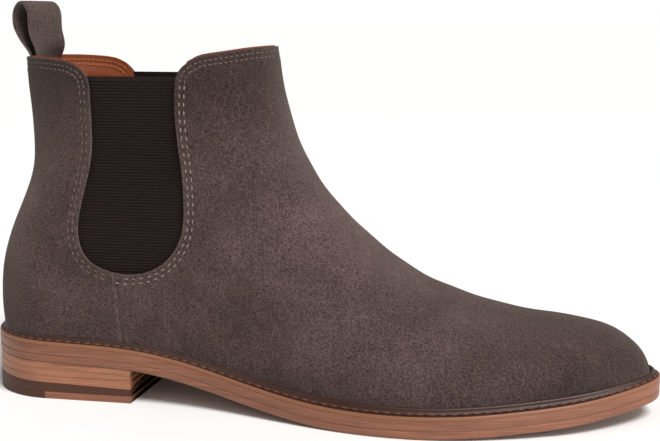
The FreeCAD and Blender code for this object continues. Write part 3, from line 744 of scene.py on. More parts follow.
FINISHES = {
    # Split leather sanded to a nap: no gloss, a soft bloom at the edges, speckled tone.
    "suede": Suede("suede_split_brushed_grey_brown", "#473938", rough=0.95, specular=0.12),
    "tab_suede": Suede("suede_split_strap", "#4b3d3a", rough=0.95, specular=0.12,
                       painted_light_upper=False),
    # Rubber threads covered with polyester and woven: nearly black, ribbed, dull.
    "elastic": Webbing("elastic_webbing_woven_polyester", "#1f1512", rough=0.85,
                       specular=0.15),
    # Dyed through and lightly finished calf: warm, a little cloudy, with a satin shine.
    "lining_leather": SmoothLeather("calf_lining_full_grain_cognac", "#7d3a17", rough=0.6,
                                    specular=0.3),
    # Dyed strip burnished with wax: dark, with the sharpest highlights of the leathers.
    "welt_leather": Welt("welt_leather_dyed_waxed", "#341a0f", rough=0.42, grain=0.0005,
                         relief=0.4),
    # Vegetable-tanned bend, cut, sanded and waxed: tan with fibres lying in layers.
    "sole_leather": CutLeatherEdge("sole_leather_trimmed_waxed", "#82513a", rough=0.46,
                                   contrast=0.38),
    "stacked_leather": CutLeatherEdge("stacked_leather_trimmed_waxed", "#9a6447", rough=0.5,
                                      layer=0.0005, contrast=0.42),
    # Moulded and ground rubber: dark brown with a faint mottle, half matt.
    "heel_rubber": Finish("rubber_moulded_brown", "#4b2d20", rough=0.58, specular=0.3),
    # Twisted polyester, waxed linen on the welt: a pale or dark dash with a small glint.
    "thread": SmoothLeather("polyester_thread_twisted_greige", "#8f7c74", rough=0.7,
                            grain=0.0003),
    "thread_fine": SmoothLeather("polyester_thread_twisted_taupe", "#675850", rough=0.75,
                                 grain=0.0003),
    "thread_tan": SmoothLeather("polyester_thread_twisted_tan", "#a9683c", rough=0.6,
                                grain=0.0003),
    "thread_brown": SmoothLeather("linen_thread_waxed_brown", "#5c3626", rough=0.45,
                                  grain=0.0003),
    # Hidden layers: woven cotton, pressed fibre board, rolled leather, bonded cork granules.
    "interlining": Finish("cotton_interlining_woven", "#cfc6b4", rough=0.9, specular=0.2),
    "stiffener": Finish("fibre_board_pressed", "#a08d70", rough=0.8, specular=0.3),
    "insole_board": CutLeatherEdge("insole_leather_rolled", "#b8926a", rough=0.7),
    "cork": Finish("cork_granules_pressed", "#9c7048", rough=0.9, specular=0.2),
    # Rolled spring steel and drawn brass wire, both hidden: plain metals, faintly mottled.
    "shank_steel": Finish("spring_steel_rolled", "#8d8d90", rough=0.35, metallic=1.0),
    "nail_brass": Finish("brass_nail_drawn", "#b8954f", rough=0.35, metallic=1.0),
}


# ---------------------------------------------------------------- the upper


@dataclass
class Ply:
    """One layer of the upper: how deep its outer and inner faces lie, in millimetres."""

    outer: Callable[["Panel"], Array]
    inner: Callable[["Panel"], Array]


@dataclass
class Panel:
    """A piece of the upper, from one side border over the centre line to the other.

    side: border from the feather edge up to the collar corner, in side view.
    topline: collar edge from that corner to the centre line.
    middle: centre line from the feather edge up to the collar.
    columns, rows: grid size of one half.
    """

    side: Array
    topline: Array
    middle: Array
    columns: int
    rows: int
    middle_power: float = 1.0
    grid: dict = field(default_factory=dict)

    def shape(self) -> "Panel":
        """Works out the outer face, its normals and edge distances on the whole grid."""
        s, t = eased(self.columns, 1.7, 2.0), eased(self.rows, 1.3, 1.6)
        start_x, end_x = self.side[0][0], self.middle[0][0]
        x = start_x + (end_x - start_x) * s
        foot = np.stack([x, LAST.seat_at(x) - TUCK], -1)
        foot[-1] = self.middle[0]
        flat = coons(foot, along(self.topline, s), along(self.side, t),
                     along(self.middle, t ** self.middle_power), s, t)
        halves, walls = [], []
        for side in (Side.LATERAL, Side.MEDIAL):
            half = LAST.on_face(flat[..., 0], flat[..., 1], side)
            half[-1, :, 1] = LAST.centre(flat[-1, :, 0])
            halves.append(half)
            walls.append(LAST.normal(flat[..., 0], flat[..., 1], side))
        face = np.concatenate([halves[0], halves[1][-2::-1]])
        wall = np.concatenate([walls[0], walls[1][-2::-1]])
        view = np.concatenate([flat, flat[-2::-1]])
        normal = unit(np.cross(np.gradient(face, axis=0), np.gradient(face, axis=1)))
        if normal[0, self.rows // 2, 1] > 0:
            normal = -normal
        above = self.side[:, 1] > 57.0
        edge = distance_to(self.side[above], view[..., 0], view[..., 1])
        top = distance_to(self.topline, view[..., 0], view[..., 1])
        seam = distance_to(self.side[:3], view[..., 0], view[..., 1])
        # the grid creases where the border turns from seam to gore; the form's law does not
        by_law = smooth(12, 6, np.minimum(edge, seam))[..., None]
        normal = unit(normal * (1 - by_law) + wall * by_law)
        self.grid = {"face": face, "normal": normal, "view": view, "edge": edge,
                     "top": top, "seam": seam, "rim": np.minimum(edge, top)}
        return self

    def relief(self) -> Array:
        """Small heights of the outer face: stitch channels, seam pucker, slow waves."""
        rim, seam = self.grid["rim"], self.grid["seam"]
        x, y, z = np.moveaxis(self.grid["face"], -1, 0)
        channel = sum(-0.30 * np.exp(-((rim - d) / 0.62) ** 2) for d in (1.9, 4.0))
        swell = 0.22 * smooth(9, 4.5, rim)
        pucker = (-0.8 * np.exp(-(seam / 0.8) ** 2) + 0.3 * np.exp(-((seam - 2.2) / 1.5) ** 2)
                  + 0.18 * np.sin(z * 0.9 + 1) * np.exp(-(seam / 4) ** 2))
        wave = 0.16 * (np.sin(x * 0.11 + z * 0.07 + np.sign(y)) * np.sin(z * 0.13 - x * 0.05)
                       + 0.6 * np.sin(x * 0.23 - z * 0.19))
        calm = smooth(4, 18, z - LAST.seat_at(x)) * smooth(0, 12, self.grid["top"])
        return channel + swell + pucker + wave * calm

    def tab_room(self) -> Array:
        """1 where the pull tab's tails lie between the plies at the back, else 0."""
        x, y, z = np.moveaxis(self.grid["face"], -1, 0)
        return smooth(15.5, 12.5, np.abs(y)) * smooth(40, 30, x) * smooth(124, 132, z)

    def closing(self) -> Array:
        """0 at the collar edge, where suede and lining meet, 1 further down."""
        return np.maximum(smooth(1.0, 9.0, self.grid["top"]), self.tab_room())

    def solid(self, shop: Workshop, name: str, ply: Ply, step: int = 1,
              keep: Optional[Array] = None, round_edge: float = 0.6,
              proud: float = 0.0) -> bpy.types.Object:
        """Closed mesh of one ply.

        Its two faces are the outer face moved in along the normals, and its border is a
        half-round lip.

        Args:
            shop: makes the mesh.
            name: piece name.
            ply: depths of the two faces.
            step: takes every step-th grid line.
            keep: range of grid columns and rows to use, as ((c0, c1), (r0, r1)).
            round_edge: how far the lip stands out, as a share of half the thickness.
            proud: how far the collar edge stands above the pattern's topline.

        Returns:
            The object, not yet dressed.
        """
        (c0, c1), (r0, r1) = keep if keep is not None else ((0, None), (0, None))
        pick = (slice(c0, c1, step), slice(r0, r1, step))
        relief = self.relief()
        face, normal = self.grid["face"], self.grid["normal"]
        lift = proud * np.exp(-self.grid["top"] / 0.8)[..., None] * (0.0, 0.0, 1.0)
        outer = (face + normal * (relief - ply.outer(self))[..., None] + lift)[pick]
        inner = (face + normal * (relief * 0.6 - ply.inner(self))[..., None] + lift)[pick]
        columns, rows = outer.shape[:2]
        count = columns * rows
        rim = perimeter(columns, rows)
        a, b = outer.reshape(-1, 3)[rim], inner.reshape(-1, 3)[rim]
        number = np.arange(count).reshape(columns, rows)
        inward = np.r_[number[:, 1], number[-2, 1:], number[-2::-1, -2], number[1, -2:0:-1]]
        out = unit(a - outer.reshape(-1, 3)[inward])
        middle, half = (a + b) / 2, (a - b) / 2
        reach = np.linalg.norm(half, axis=1, keepdims=True) * round_edge
        lips = [middle + half * math.cos(p) + out * reach * math.sin(p)
                for p in np.radians([45, 90, 135])]
        points = np.vstack([outer.reshape(-1, 3), inner.reshape(-1, 3), *lips])
        faces = [grid_faces(columns, rows), grid_faces(columns, rows, count, flip=True)]
        rings = [rim] + [2 * count + k * len(rim) + np.arange(len(rim)) for k in range(3)]
        rings.append(rim + count)
        faces += [bridge(after, before) for before, after in zip(rings, rings[1:])]
        # pale raw cut edges along the rims, plus a painted highlight along the side seam's ridge
        edge_wear_and_seam_highlight = (0.12 * np.exp(-self.grid["rim"][pick].ravel() / 0.6)
                + 0.17 * np.exp(-((self.grid["seam"][pick].ravel() - 0.5) / 0.8) ** 2))
        raw = np.r_[edge_wear_and_seam_highlight, edge_wear_and_seam_highlight * 0, np.full(3 * len(rim), 0.2)]
        # painted light and shade on every vertex: a lit instep, a shaded collar and toe
        nap = self.painted_light_tone(points[:, 0], points[:, 2])
        return self._outward(shop, name, points, np.vstack(faces),
                             {"raw_edge_and_seam_highlight": raw, "painted_light_tone": nap})

    def painted_light_tone(self, x: Array, z: Array) -> Array:
        """Painted light and shade over the whole upper: paler on the instep, where light falls,
        darker at the collar and toe, where it is shaded.

        Args:
            x: stations.
            z: heights.

        Returns:
            Factors on the suede's colour.
        """
        instep = np.exp(-((x - 168) / 58) ** 2 - ((z - 74) / 34) ** 2)
        collar = smooth(110, 146, z)
        toe = smooth(222, 285, x) * smooth(50, 24, z)
        return 1.0 + 0.34 * instep - 0.4 * collar - 0.42 * toe

    def _outward(self, shop: Workshop, name: str, points: Array, faces: Array,
                 values: dict) -> bpy.types.Object:
        """Makes the mesh with its faces turned outwards."""
        p = points[faces]
        volume = np.einsum("ij,ij->i", p[:, 0], np.cross(p[:, 1], p[:, 2])).sum()
        volume += np.einsum("ij,ij->i", p[:, 0], np.cross(p[:, 2], p[:, 3])).sum()
        if volume < 0:
            faces = faces[:, ::-1]
        return shop.mesh(name, points, faces, values)


def constant(depth: float) -> Callable[[Panel], Array]:
    """A ply face at one depth."""
    return lambda panel: np.full(panel.grid["rim"].shape, depth)


# Millimetres below the suede's face: the lining's outer and inner face, of which only the
# difference, its thickness, counts; the outer face's depth at the collar, on the back of the
# suede, and its drop from there; and the room it leaves for the pull tab's tails.
LINING_OUTER, LINING_INNER = 3.15, 4.2
LINING_AT_COLLAR, LINING_DROP, TAB_TAILS_ROOM = 1.62, 1.5, 1.65


def lining_face(depth: float) -> Callable[[Panel], Array]:
    """A lining face: it closes onto the suede at the collar and makes room for the tab."""
    return lambda panel: (depth - LINING_OUTER + LINING_AT_COLLAR
                          + LINING_DROP * panel.closing() + TAB_TAILS_ROOM * panel.tab_room())


@dataclass
class Upper:
    """Suede vamp and quarter, their linings, stiffeners and interlinings."""

    suede_depth: float = 1.5

    def panels(self) -> tuple[Panel, Panel]:
        """Vamp and quarter grids."""
        ridge = LAST.ridge_line
        toe_foot = float(LAST.seat_at(302)) - TUCK
        front = ridge[(ridge[:, 1] > toe_foot) & (ridge[:, 1] < 157.8)]
        vamp = Panel(PATTERN.vamp_side(), PATTERN.front_topline(),
                     np.vstack([[front[0][0], toe_foot], front, [134.6, 157.9]]),
                     columns=112, rows=150, middle_power=1.35).shape()
        back = LAST.back_line
        heel_foot = float(LAST.seat_at(3)) - TUCK
        line = back[(back[:, 1] > heel_foot) & (back[:, 1] < 152.9)]
        quarter = Panel(PATTERN.quarter_side(), PATTERN.back_topline(),
                        np.vstack([[LAST.back_at(heel_foot), heel_foot], line,
                                   [17.4, 152.9]]), columns=84, rows=150).shape()
        return vamp, quarter

    def build(self, shop: Workshop, look: dict) -> None:
        """Makes every ply of the upper."""
        vamp, quarter = self.panels()
        suede = Ply(constant(0.0), constant(self.suede_depth))
        lining = Ply(lining_face(LINING_OUTER), lining_face(LINING_INNER))
        hidden = Ply(lambda p: 1.6 + 0 * p.closing(), lambda p: 1.66 + 1.2 * p.closing())
        shop.finish(vamp.solid(shop, "suede_vamp", suede), look["suede"], "suede",
                    stands_for=("vamp",))
        shop.finish(quarter.solid(shop, "suede_quarter", suede), look["suede"], "suede",
                    stands_for=("quarter_lower", "quarter_upper"), bend=True)
        shop.finish(vamp.solid(shop, "lining_vamp", lining, proud=0.75),
                    look["lining_leather"], "lining_leather", stands_for=("vamp_lining",))
        shop.finish(quarter.solid(shop, "lining_quarter", lining, proud=0.4),
                    look["lining_leather"], "lining_leather",
                    stands_for=("quarter_lining_lower", "quarter_lining_upper"), bend=True)
        self.fillers(shop, look, vamp, quarter, hidden)

    def fillers(self, shop: Workshop, look: dict, vamp: Panel, quarter: Panel,
                hidden: Ply) -> None:
        """Layers between suede and lining: toe puff, interlining, counter and backing."""
        centre = vamp.columns - 1
        whole = (6, 2 * vamp.columns - 7)
        shop.finish(vamp.solid(shop, "puff_fibre", hidden, 2,
                               ((centre - 70, centre + 71), (2, 38))),
                    look["stiffener"], "stiffener", stands_for=("toe_puff",))
        shop.finish(vamp.solid(shop, "interlining_cotton", hidden, 2, (whole, (40, 144))),
                    look["interlining"], "interlining", stands_for=("vamp_interlining",))
        wide = (10, 2 * quarter.columns - 11)
        shop.finish(quarter.solid(shop, "counter_fibre", hidden, 2, (wide, (2, 62))),
                    look["stiffener"], "stiffener", stands_for=("heel_counter",), bend=True)
        shop.finish(quarter.solid(shop, "backing_cotton", hidden, 2, (wide, (64, 112))),
                    look["interlining"], "interlining", stands_for=("quarter_backing",),
                    bend=True)
        last = 2 * quarter.columns - 2
        for word, span in (("lateral", (10, 50)), ("medial", (last - 49, last - 9))):
            shop.finish(quarter.solid(shop, "tape_" + word, hidden, 2, (span, (114, 140))),
                        look["interlining"], "interlining",
                        stands_for=("collar_tape_" + word,), bend=True)


@dataclass
class Gore:
    """Elastic side panel: woven ribs run fore and aft, with a folded band at the top."""

    side: Side
    rib_pitch: float = 1.33
    rib_height: float = 0.2
    band: float = 2.4
    floor: float = 53.0
    hidden_edge: float = 5.0
    columns: int = 40
    rows_per_rib: int = 8

    def build(self, shop: Workshop, look: dict) -> None:
        """Makes the webbing as a ribbed sheet between suede and lining."""
        top = PATTERN.gore_top
        z = np.linspace(self.floor, top, int((top - self.floor) / self.rib_pitch
                                             * self.rows_per_rib))
        back, front = PATTERN.gore_back, PATTERN.gore_front
        rear = np.interp(z, np.r_[back[:, 1], 150], np.r_[back[:, 0], 57.2])
        fore = np.interp(z, np.r_[front[:, 1], 150], np.r_[front[:, 0], 97.8])
        low = z < 60.0
        rear = np.where(low, 62.0, rear) - self.hidden_edge
        fore = np.where(low, 82.0, fore) + self.hidden_edge
        u = np.linspace(0, 1, self.columns)[:, None]
        x = rear + (fore - rear) * u
        zz = np.broadcast_to(z, x.shape)
        face, normal = LAST.on_face(x, zz, self.side), LAST.normal(x, zz, self.side)
        in_band = smooth(top - self.band - 0.3, top - self.band + 0.1, zz)
        rib = 0.5 + 0.5 * np.cos(2 * math.pi * (zz - self.floor) / self.rib_pitch)
        rib = rib * (1 - in_band) + in_band * (0.9 - 0.9 * np.exp(
            -((zz - (top - self.band)) / 0.25) ** 2))
        sag = 0.5 * np.sin(math.pi * u)
        outer = face + normal * (self.rib_height * rib - 1.9 - sag)[..., None]
        inner = face - normal * (2.95 + sag)[..., None]
        columns, rows = x.shape
        count = columns * rows
        edge = perimeter(columns, rows)
        faces = np.vstack([grid_faces(columns, rows), grid_faces(columns, rows, count, True),
                           bridge(edge + count, edge)])
        if self.side is Side.LATERAL:
            faces = faces[:, ::-1]
        word = self.side.name.lower()
        piece = shop.mesh("elastic_" + word,
                          np.vstack([outer.reshape(-1, 3), inner.reshape(-1, 3)]), faces,
                          {"rib": np.r_[rib.ravel(), rib.ravel()]}, sharp=70)
        shop.finish(piece, look["elastic"], "elastic", stands_for=("gore_" + word,),
                    bend=True)


def stitch_mesh(shop: Workshop, name: str, centre: Array, along_dir: Array, up: Array,
                size: Sequence[float]) -> bpy.types.Object:
    """Many thread stitches in one mesh, each a small rounded bar.

    Args:
        shop: makes the mesh.
        name: piece name.
        centre: middle of each stitch.
        along_dir: direction of each stitch.
        up: surface normal at each stitch.
        size: length, width and height of one stitch.

    Returns:
        The object, not yet dressed.
    """
    rings, spokes = 5, 6
    a = np.linspace(0.12, math.pi - 0.12, rings)
    b = np.arange(spokes) * 2 * math.pi / spokes
    lx = -np.cos(a)[:, None] * np.ones(spokes) * size[0] / 2
    ly = np.sin(a)[:, None] ** 0.6 * np.cos(b) * size[1] / 2
    lz = np.sin(a)[:, None] ** 0.6 * np.sin(b) * size[2] / 2
    along_dir = unit(along_dir)
    across = unit(np.cross(up, along_dir))
    up = np.cross(along_dir, across)
    bar = np.stack([lx.ravel(), ly.ravel(), lz.ravel()], -1)
    points = (centre[:, None] + bar[None, :, :1] * along_dir[:, None]
              + bar[None, :, 1:2] * across[:, None] + bar[None, :, 2:] * up[:, None])
    i = np.arange(rings * spokes).reshape(rings, spokes)
    wall = np.concatenate([bridge(p, q) for p, q in zip(i, i[1:])])
    caps = np.vstack([i[0, [3, 2, 1, 0]], i[0, [0, 5, 4, 3]],
                      i[-1, [0, 1, 2, 3]], i[-1, [3, 4, 5, 0]]])
    one = np.vstack([wall, caps])
    every = one[None] + (np.arange(len(centre)) * rings * spokes)[:, None, None]
    return shop.mesh(name, points.reshape(-1, 3), every.reshape(-1, 4))


@dataclass
class Stitching:
    """Rows of lockstitch on the suede and the lining beside the gores and the collar."""

    gore_pitch: float = 3.6
    collar_pitch: float = 2.4
    rows: Sequence[float] = (1.9, 4.0)

    def row(self, path: Array, side: Side, inset: float, pitch: float,
            depth: float) -> tuple[Array, Array, Array]:
        """Stitch places along a side-view path moved inwards from its edge.

        Args:
            path: side-view edge, with the piece on its right.
            side: which half of the boot.
            inset: distance from the edge.
            pitch: spacing of the stitches.
            depth: how far below the suede's face the thread's middle lies.

        Returns:
            Centres, directions and normals.
        """
        line = shifted(path, inset)
        solid = LAST.on_face(line[:, 0], line[:, 1], side)
        run = np.linalg.norm(np.diff(solid, axis=0), axis=1).sum()
        count = max(int(run / pitch), 2)
        share = (np.arange(count) + 0.5) / count
        flat = along(np.hstack([solid, line]), share)
        x, z = flat[:, 3], flat[:, 4]
        centre, normal = LAST.on_face(x, z, side), LAST.normal(x, z, side)
        direction = np.gradient(centre, axis=0)
        return centre - normal * depth, direction, normal

    def build(self, shop: Workshop, look: dict) -> None:
        """Makes the rows on both sides of both pieces, outside and on the lining."""
        front_gore, back_gore = PATTERN.gore_front, PATTERN.gore_back
        front_top = np.vstack([spline(PATTERN.front_corner, 40), PATTERN.front_topline()])
        back_top = np.vstack([spline(PATTERN.back_corner, 40), PATTERN.back_topline()])
        jobs = (("vamp_gore", front_gore, 1, self.gore_pitch, "thread", (1.85, 0.62, 0.5)),
                ("quarter_gore", back_gore, -1, self.gore_pitch, "thread_fine",
                 (1.85, 0.62, 0.5)),
                ("vamp_collar", front_top, 1, self.collar_pitch, "thread_fine",
                 (1.5, 0.6, 0.45)),
                ("quarter_collar", back_top, -1, self.collar_pitch, "thread_fine",
                 (1.5, 0.6, 0.45)))
        for name, path, hand, pitch, thread, size in jobs:
            for face, depth, finish in (("suede", -0.02, thread), ("lining", None,
                                                                   "thread_tan")):
                found = []
                for side in Side:
                    for inset in self.rows:
                        if depth is None:
                            under = 4.25 if "gore" in name else 2.72 + 1.5 * float(
                                smooth(1.0, 9.0, inset))
                        else:
                            under = depth
                        found.append(self.row(path, side, inset * hand, pitch, under))
                centre, direction, normal = (np.vstack([f[k] for f in found])
                                             for k in range(3))
                piece = stitch_mesh(shop, "stitch_%s_%s" % (face, name), centre, direction,
                                    normal, size)
                slot = "suede" if face == "suede" else "lining_leather"
                shop.finish(piece, look[finish], slot, bend=name.startswith("quarter"))


# ---------------------------------------------------------------- the sole and heel


@dataclass
class SolePlan:
    """Plan outlines grown from the feather edge, as lateral and medial halves."""

    heel_centre: float = 34.0
    heel_radius: float = 31.0
    samples: int = 220

    def reach(self, x: Array) -> Array:
        """How far the sole stands out from the feather edge."""
        return 3.0 + 3.2 * smooth(80, 180, x) - 3.0 * smooth(262, 302, x)

    def loop(self, inset: float = 0.0) -> Array:
        """Closed plan line, inset from the sole's edge; first half lateral, from the heel.

        Args:
            inset: distance inside the outline.

        Returns:
            Points (2 * samples, 2): heel back, lateral side, toe tip, medial side.
        """
        angle = np.radians(np.arange(75, -76, -25))
        heel = np.stack([self.heel_centre - self.heel_radius * np.cos(angle),
                         self.heel_radius * np.sin(angle)], -1)
        outer = np.array(LAST.outer[1:-1]) * (1, -1)
        inner = np.array(LAST.inner[1:-1])[::-1]
        tip = [(LAST.outer[-1][0], LAST.tip_side)]
        ring = spline(np.vstack([heel, outer, tip, inner]), 1600, closed=True)[:-1]
        t = unit(np.roll(ring, -1, 0) - np.roll(ring, 1, 0))
        outward = np.stack([t[:, 1], -t[:, 0]], -1)
        grown = ring + outward * (self.reach(ring[:, 0]) - inset)[:, None]
        start, tip_at = int(np.argmin(grown[:, 0])), int(np.argmax(grown[:, 0]))
        grown = np.roll(grown, -start, 0)
        tip_at = (tip_at - start) % len(grown)
        share = eased(self.samples + 1, 1.5, 1.5)
        first = along(grown[:tip_at + 1], share)
        second = along(np.vstack([grown[tip_at:], grown[:1]]), share)
        return np.vstack([first[:-1], second[:-1]])


def outward_of(loop: Array) -> Array:
    """Outward plan normals of a closed loop that runs heel, lateral, toe, medial."""
    t = unit(np.roll(loop, -1, 0) - np.roll(loop, 1, 0))
    return np.stack([t[:, 1], -t[:, 0]], -1)


def slab(shop: Workshop, name: str, loop: Array, low: Callable[[Array], Array],
         high: Callable[[Array], Array], edge: Sequence[Sequence[float]],
         across: int = 14) -> bpy.types.Object:
    """Closed sole layer between two heights, with a shaped edge.

    The top and bottom are ladders of rungs from the lateral half of the loop to the
    medial half, closed by a fan of triangles at each tip. The edge profile is carried round
    the loop.

    Args:
        shop: makes the mesh.
        name: piece name.
        loop: plan outline with equal halves.
        low: underside height over x.
        high: top height over x.
        edge: rows (inset, share of height) from the bottom to the top.
        across: points on a rung.

    Returns:
        The object, not yet dressed.
    """
    out = outward_of(loop)
    n = len(loop)
    rows = []
    for inset, share in edge:
        plan = loop - out * inset
        z = low(plan[:, 0]) * (1 - share) + high(plan[:, 0]) * share
        rows.append(np.column_stack([plan, z]))
    points, triangles = [np.vstack(rows)], []
    faces = [bridge(np.arange(n) + k * n, np.arange(n) + (k + 1) * n)
             for k in range(len(rows) - 1)]
    half = n // 2
    for row, height, first in ((rows[0], low, 0), (rows[-1], high, (len(rows) - 1) * n)):
        lateral = row[:half + 1]
        medial = np.vstack([row[:1], row[:half - 1:-1]])
        v = np.linspace(0, 1, across)[None, 1:-1, None]
        rungs = lateral[:, None] * (1 - v) + medial[:, None] * v
        rungs[..., 2] = height(rungs[..., 0])
        inside = rungs[1:-1]
        base = sum(len(p) for p in points)
        number = np.empty((half + 1, across), int)
        number[:, 0] = np.arange(half + 1) + first
        number[:, -1] = np.r_[0, np.arange(n - 1, half - 1, -1)] + first
        number[1:-1, 1:-1] = base + np.arange(inside.shape[0] * inside.shape[1]).reshape(
            inside.shape[:2])
        points.append(inside.reshape(-1, 3))
        core = number[1:-1]
        quads = np.stack([core[:-1, :-1], core[1:, :-1], core[1:, 1:], core[:-1, 1:]],
                         -1).reshape(-1, 4)
        faces.append(quads if height is high else quads[:, ::-1])
        for tip, rung in ((number[0, 0], core[0]), (number[-1, 0], core[-1][::-1])):
            fan = np.stack([np.full(across - 1, tip), rung[:-1], rung[1:]], -1)
            triangles.append(fan if height is high else fan[:, ::-1])
    piece = shop.mesh(name, np.vstack(points), np.vstack(faces), sharp=50,
                      triangles=np.vstack(triangles))
    bm_normals(piece)
    return piece


def bm_normals(piece: bpy.types.Object) -> None:
    """Turns every face of a closed mesh outwards."""
    work = bmesh.new()
    work.from_mesh(piece.data)
    bmesh.ops.recalc_face_normals(work, faces=work.faces)
    work.to_mesh(piece.data)
    work.free()


@dataclass
class Sole:
    """Outsole, midsole and stitched welt."""

    outsole_thick: float = 3.5
    midsole_low: float = 3.55
    midsole_high: float = 7.8
    welt_low: float = 7.85
    plan: SolePlan = field(default_factory=SolePlan)

    def level(self, rise: float) -> Callable[[Array], Array]:
        """Height law: the tread line lifted by rise."""
        return lambda x: LAST.tread_at(x) + rise

    def build(self, shop: Workshop, look: dict) -> None:
        """Makes the three layers and the welt's lockstitch."""
        loop = self.plan.loop()
        edge = [(0.9, 0.0), (0.35, 0.05), (0.08, 0.22), (0, 0.5), (0.02, 0.85),
                (0.08, 0.97), (0.2, 1.0)]
        piece = slab(shop, "sole_outer", loop, self.level(0), self.level(self.outsole_thick),
                     edge)
        shop.finish(piece, look["sole_leather"], "sole_leather", stands_for=("outsole",))
        edge = [(0.2, 0.0), (0.08, 0.02), (0.0, 0.15), (-0.05, 0.5), (-0.08, 0.9),
                (0.0, 0.97), (0.12, 1.0)]
        piece = slab(shop, "sole_middle", loop, self.level(self.midsole_low),
                     self.level(self.midsole_high), edge)
        shop.finish(piece, look["sole_leather"], "sole_leather", stands_for=("midsole",))
        self.welt(shop, look, loop)

    def welt(self, shop: Workshop, look: dict, loop: Array) -> None:
        """Welt strip: tan cut wall, dyed top that slopes up to a bead on the upper.

        Each profile row is a fixed inset, an inset as a share of the sole's reach, a
        height above the strip's underside and how much of the natural edge shows.
        """
        out = outward_of(loop)
        reach = self.plan.reach(loop[:, 0])
        profile = [(0.1, 0.0, 0.0, 1), (0.0, 0.0, 0.1, 1), (-0.05, 0.0, 0.8, 1),
                   (0.02, 0.0, 1.35, 1), (0.2, 0.0, 1.6, 1), (0.42, 0.0, 1.74, 0.6),
                   (0.6, 0.0, 1.8, 0), (0.6, 0.1, 2.05, 0), (0.55, 0.18, 2.1, 0),
                   (0.5, 0.25, 1.95, 0), (0.4, 0.33, 1.95, 0), (0.3, 0.41, 2.1, 0),
                   (0.2, 0.5, 2.6, 0), (0.1, 0.6, 3.05, 0), (0, 0.7, 3.3, 0),
                   (-0.2, 0.8, 3.4, 0), (-0.35, 0.85, 3.55, 0), (-0.35, 0.89, 3.85, 0),
                   (-0.15, 0.94, 4.1, 0), (0.2, 0.98, 4.15, 0), (0.6, 1.02, 3.9, 0),
                   (0.9, 1.06, 3.2, 0), (1.1, 1.1, 2.3, 0), (3.0, 1.0, 2.15, 0),
                   (3.0, 1.0, 0.0, 0)]
        rows = []
        for fixed, share, up, _ in profile:
            plan = loop - out * (fixed + share * reach)[:, None]
            rows.append(np.column_stack([plan, LAST.tread_at(plan[:, 0]) + self.welt_low
                                         + up]))
        natural = np.repeat([row[3] for row in profile], len(loop))
        n = len(loop)
        rings = [np.arange(n) + k * n for k in range(len(rows))]
        faces = np.vstack([bridge(a, b) for a, b in zip(rings, rings[1:] + rings[:1])])
        piece = shop.mesh("welt_strip", np.vstack(rows), faces, {"natural": natural},
                          sharp=60)
        bm_normals(piece)
        shop.finish(piece, look["welt_leather"], "welt_leather", stands_for=("welt",))
        groove = loop - out * (0.42 + 0.34 * reach)[:, None]
        line = np.column_stack([groove, LAST.tread_at(groove[:, 0]) + self.welt_low + 2.25])
        line = np.vstack([line, line[:1]])
        run = np.linalg.norm(np.diff(line, axis=0), axis=1).sum()
        count = int(run / 4.6)
        centre = along(line, (np.arange(count) + 0.5) / count)
        direction = np.roll(centre, -1, 0) - np.roll(centre, 1, 0)
        up = np.tile([0.0, 0.0, 1.0], (count, 1))
        piece = stitch_mesh(shop, "stitch_welt", centre, direction, up, (3.4, 1.15, 0.95))
        shop.finish(piece, look["thread_brown"], "welt_leather")


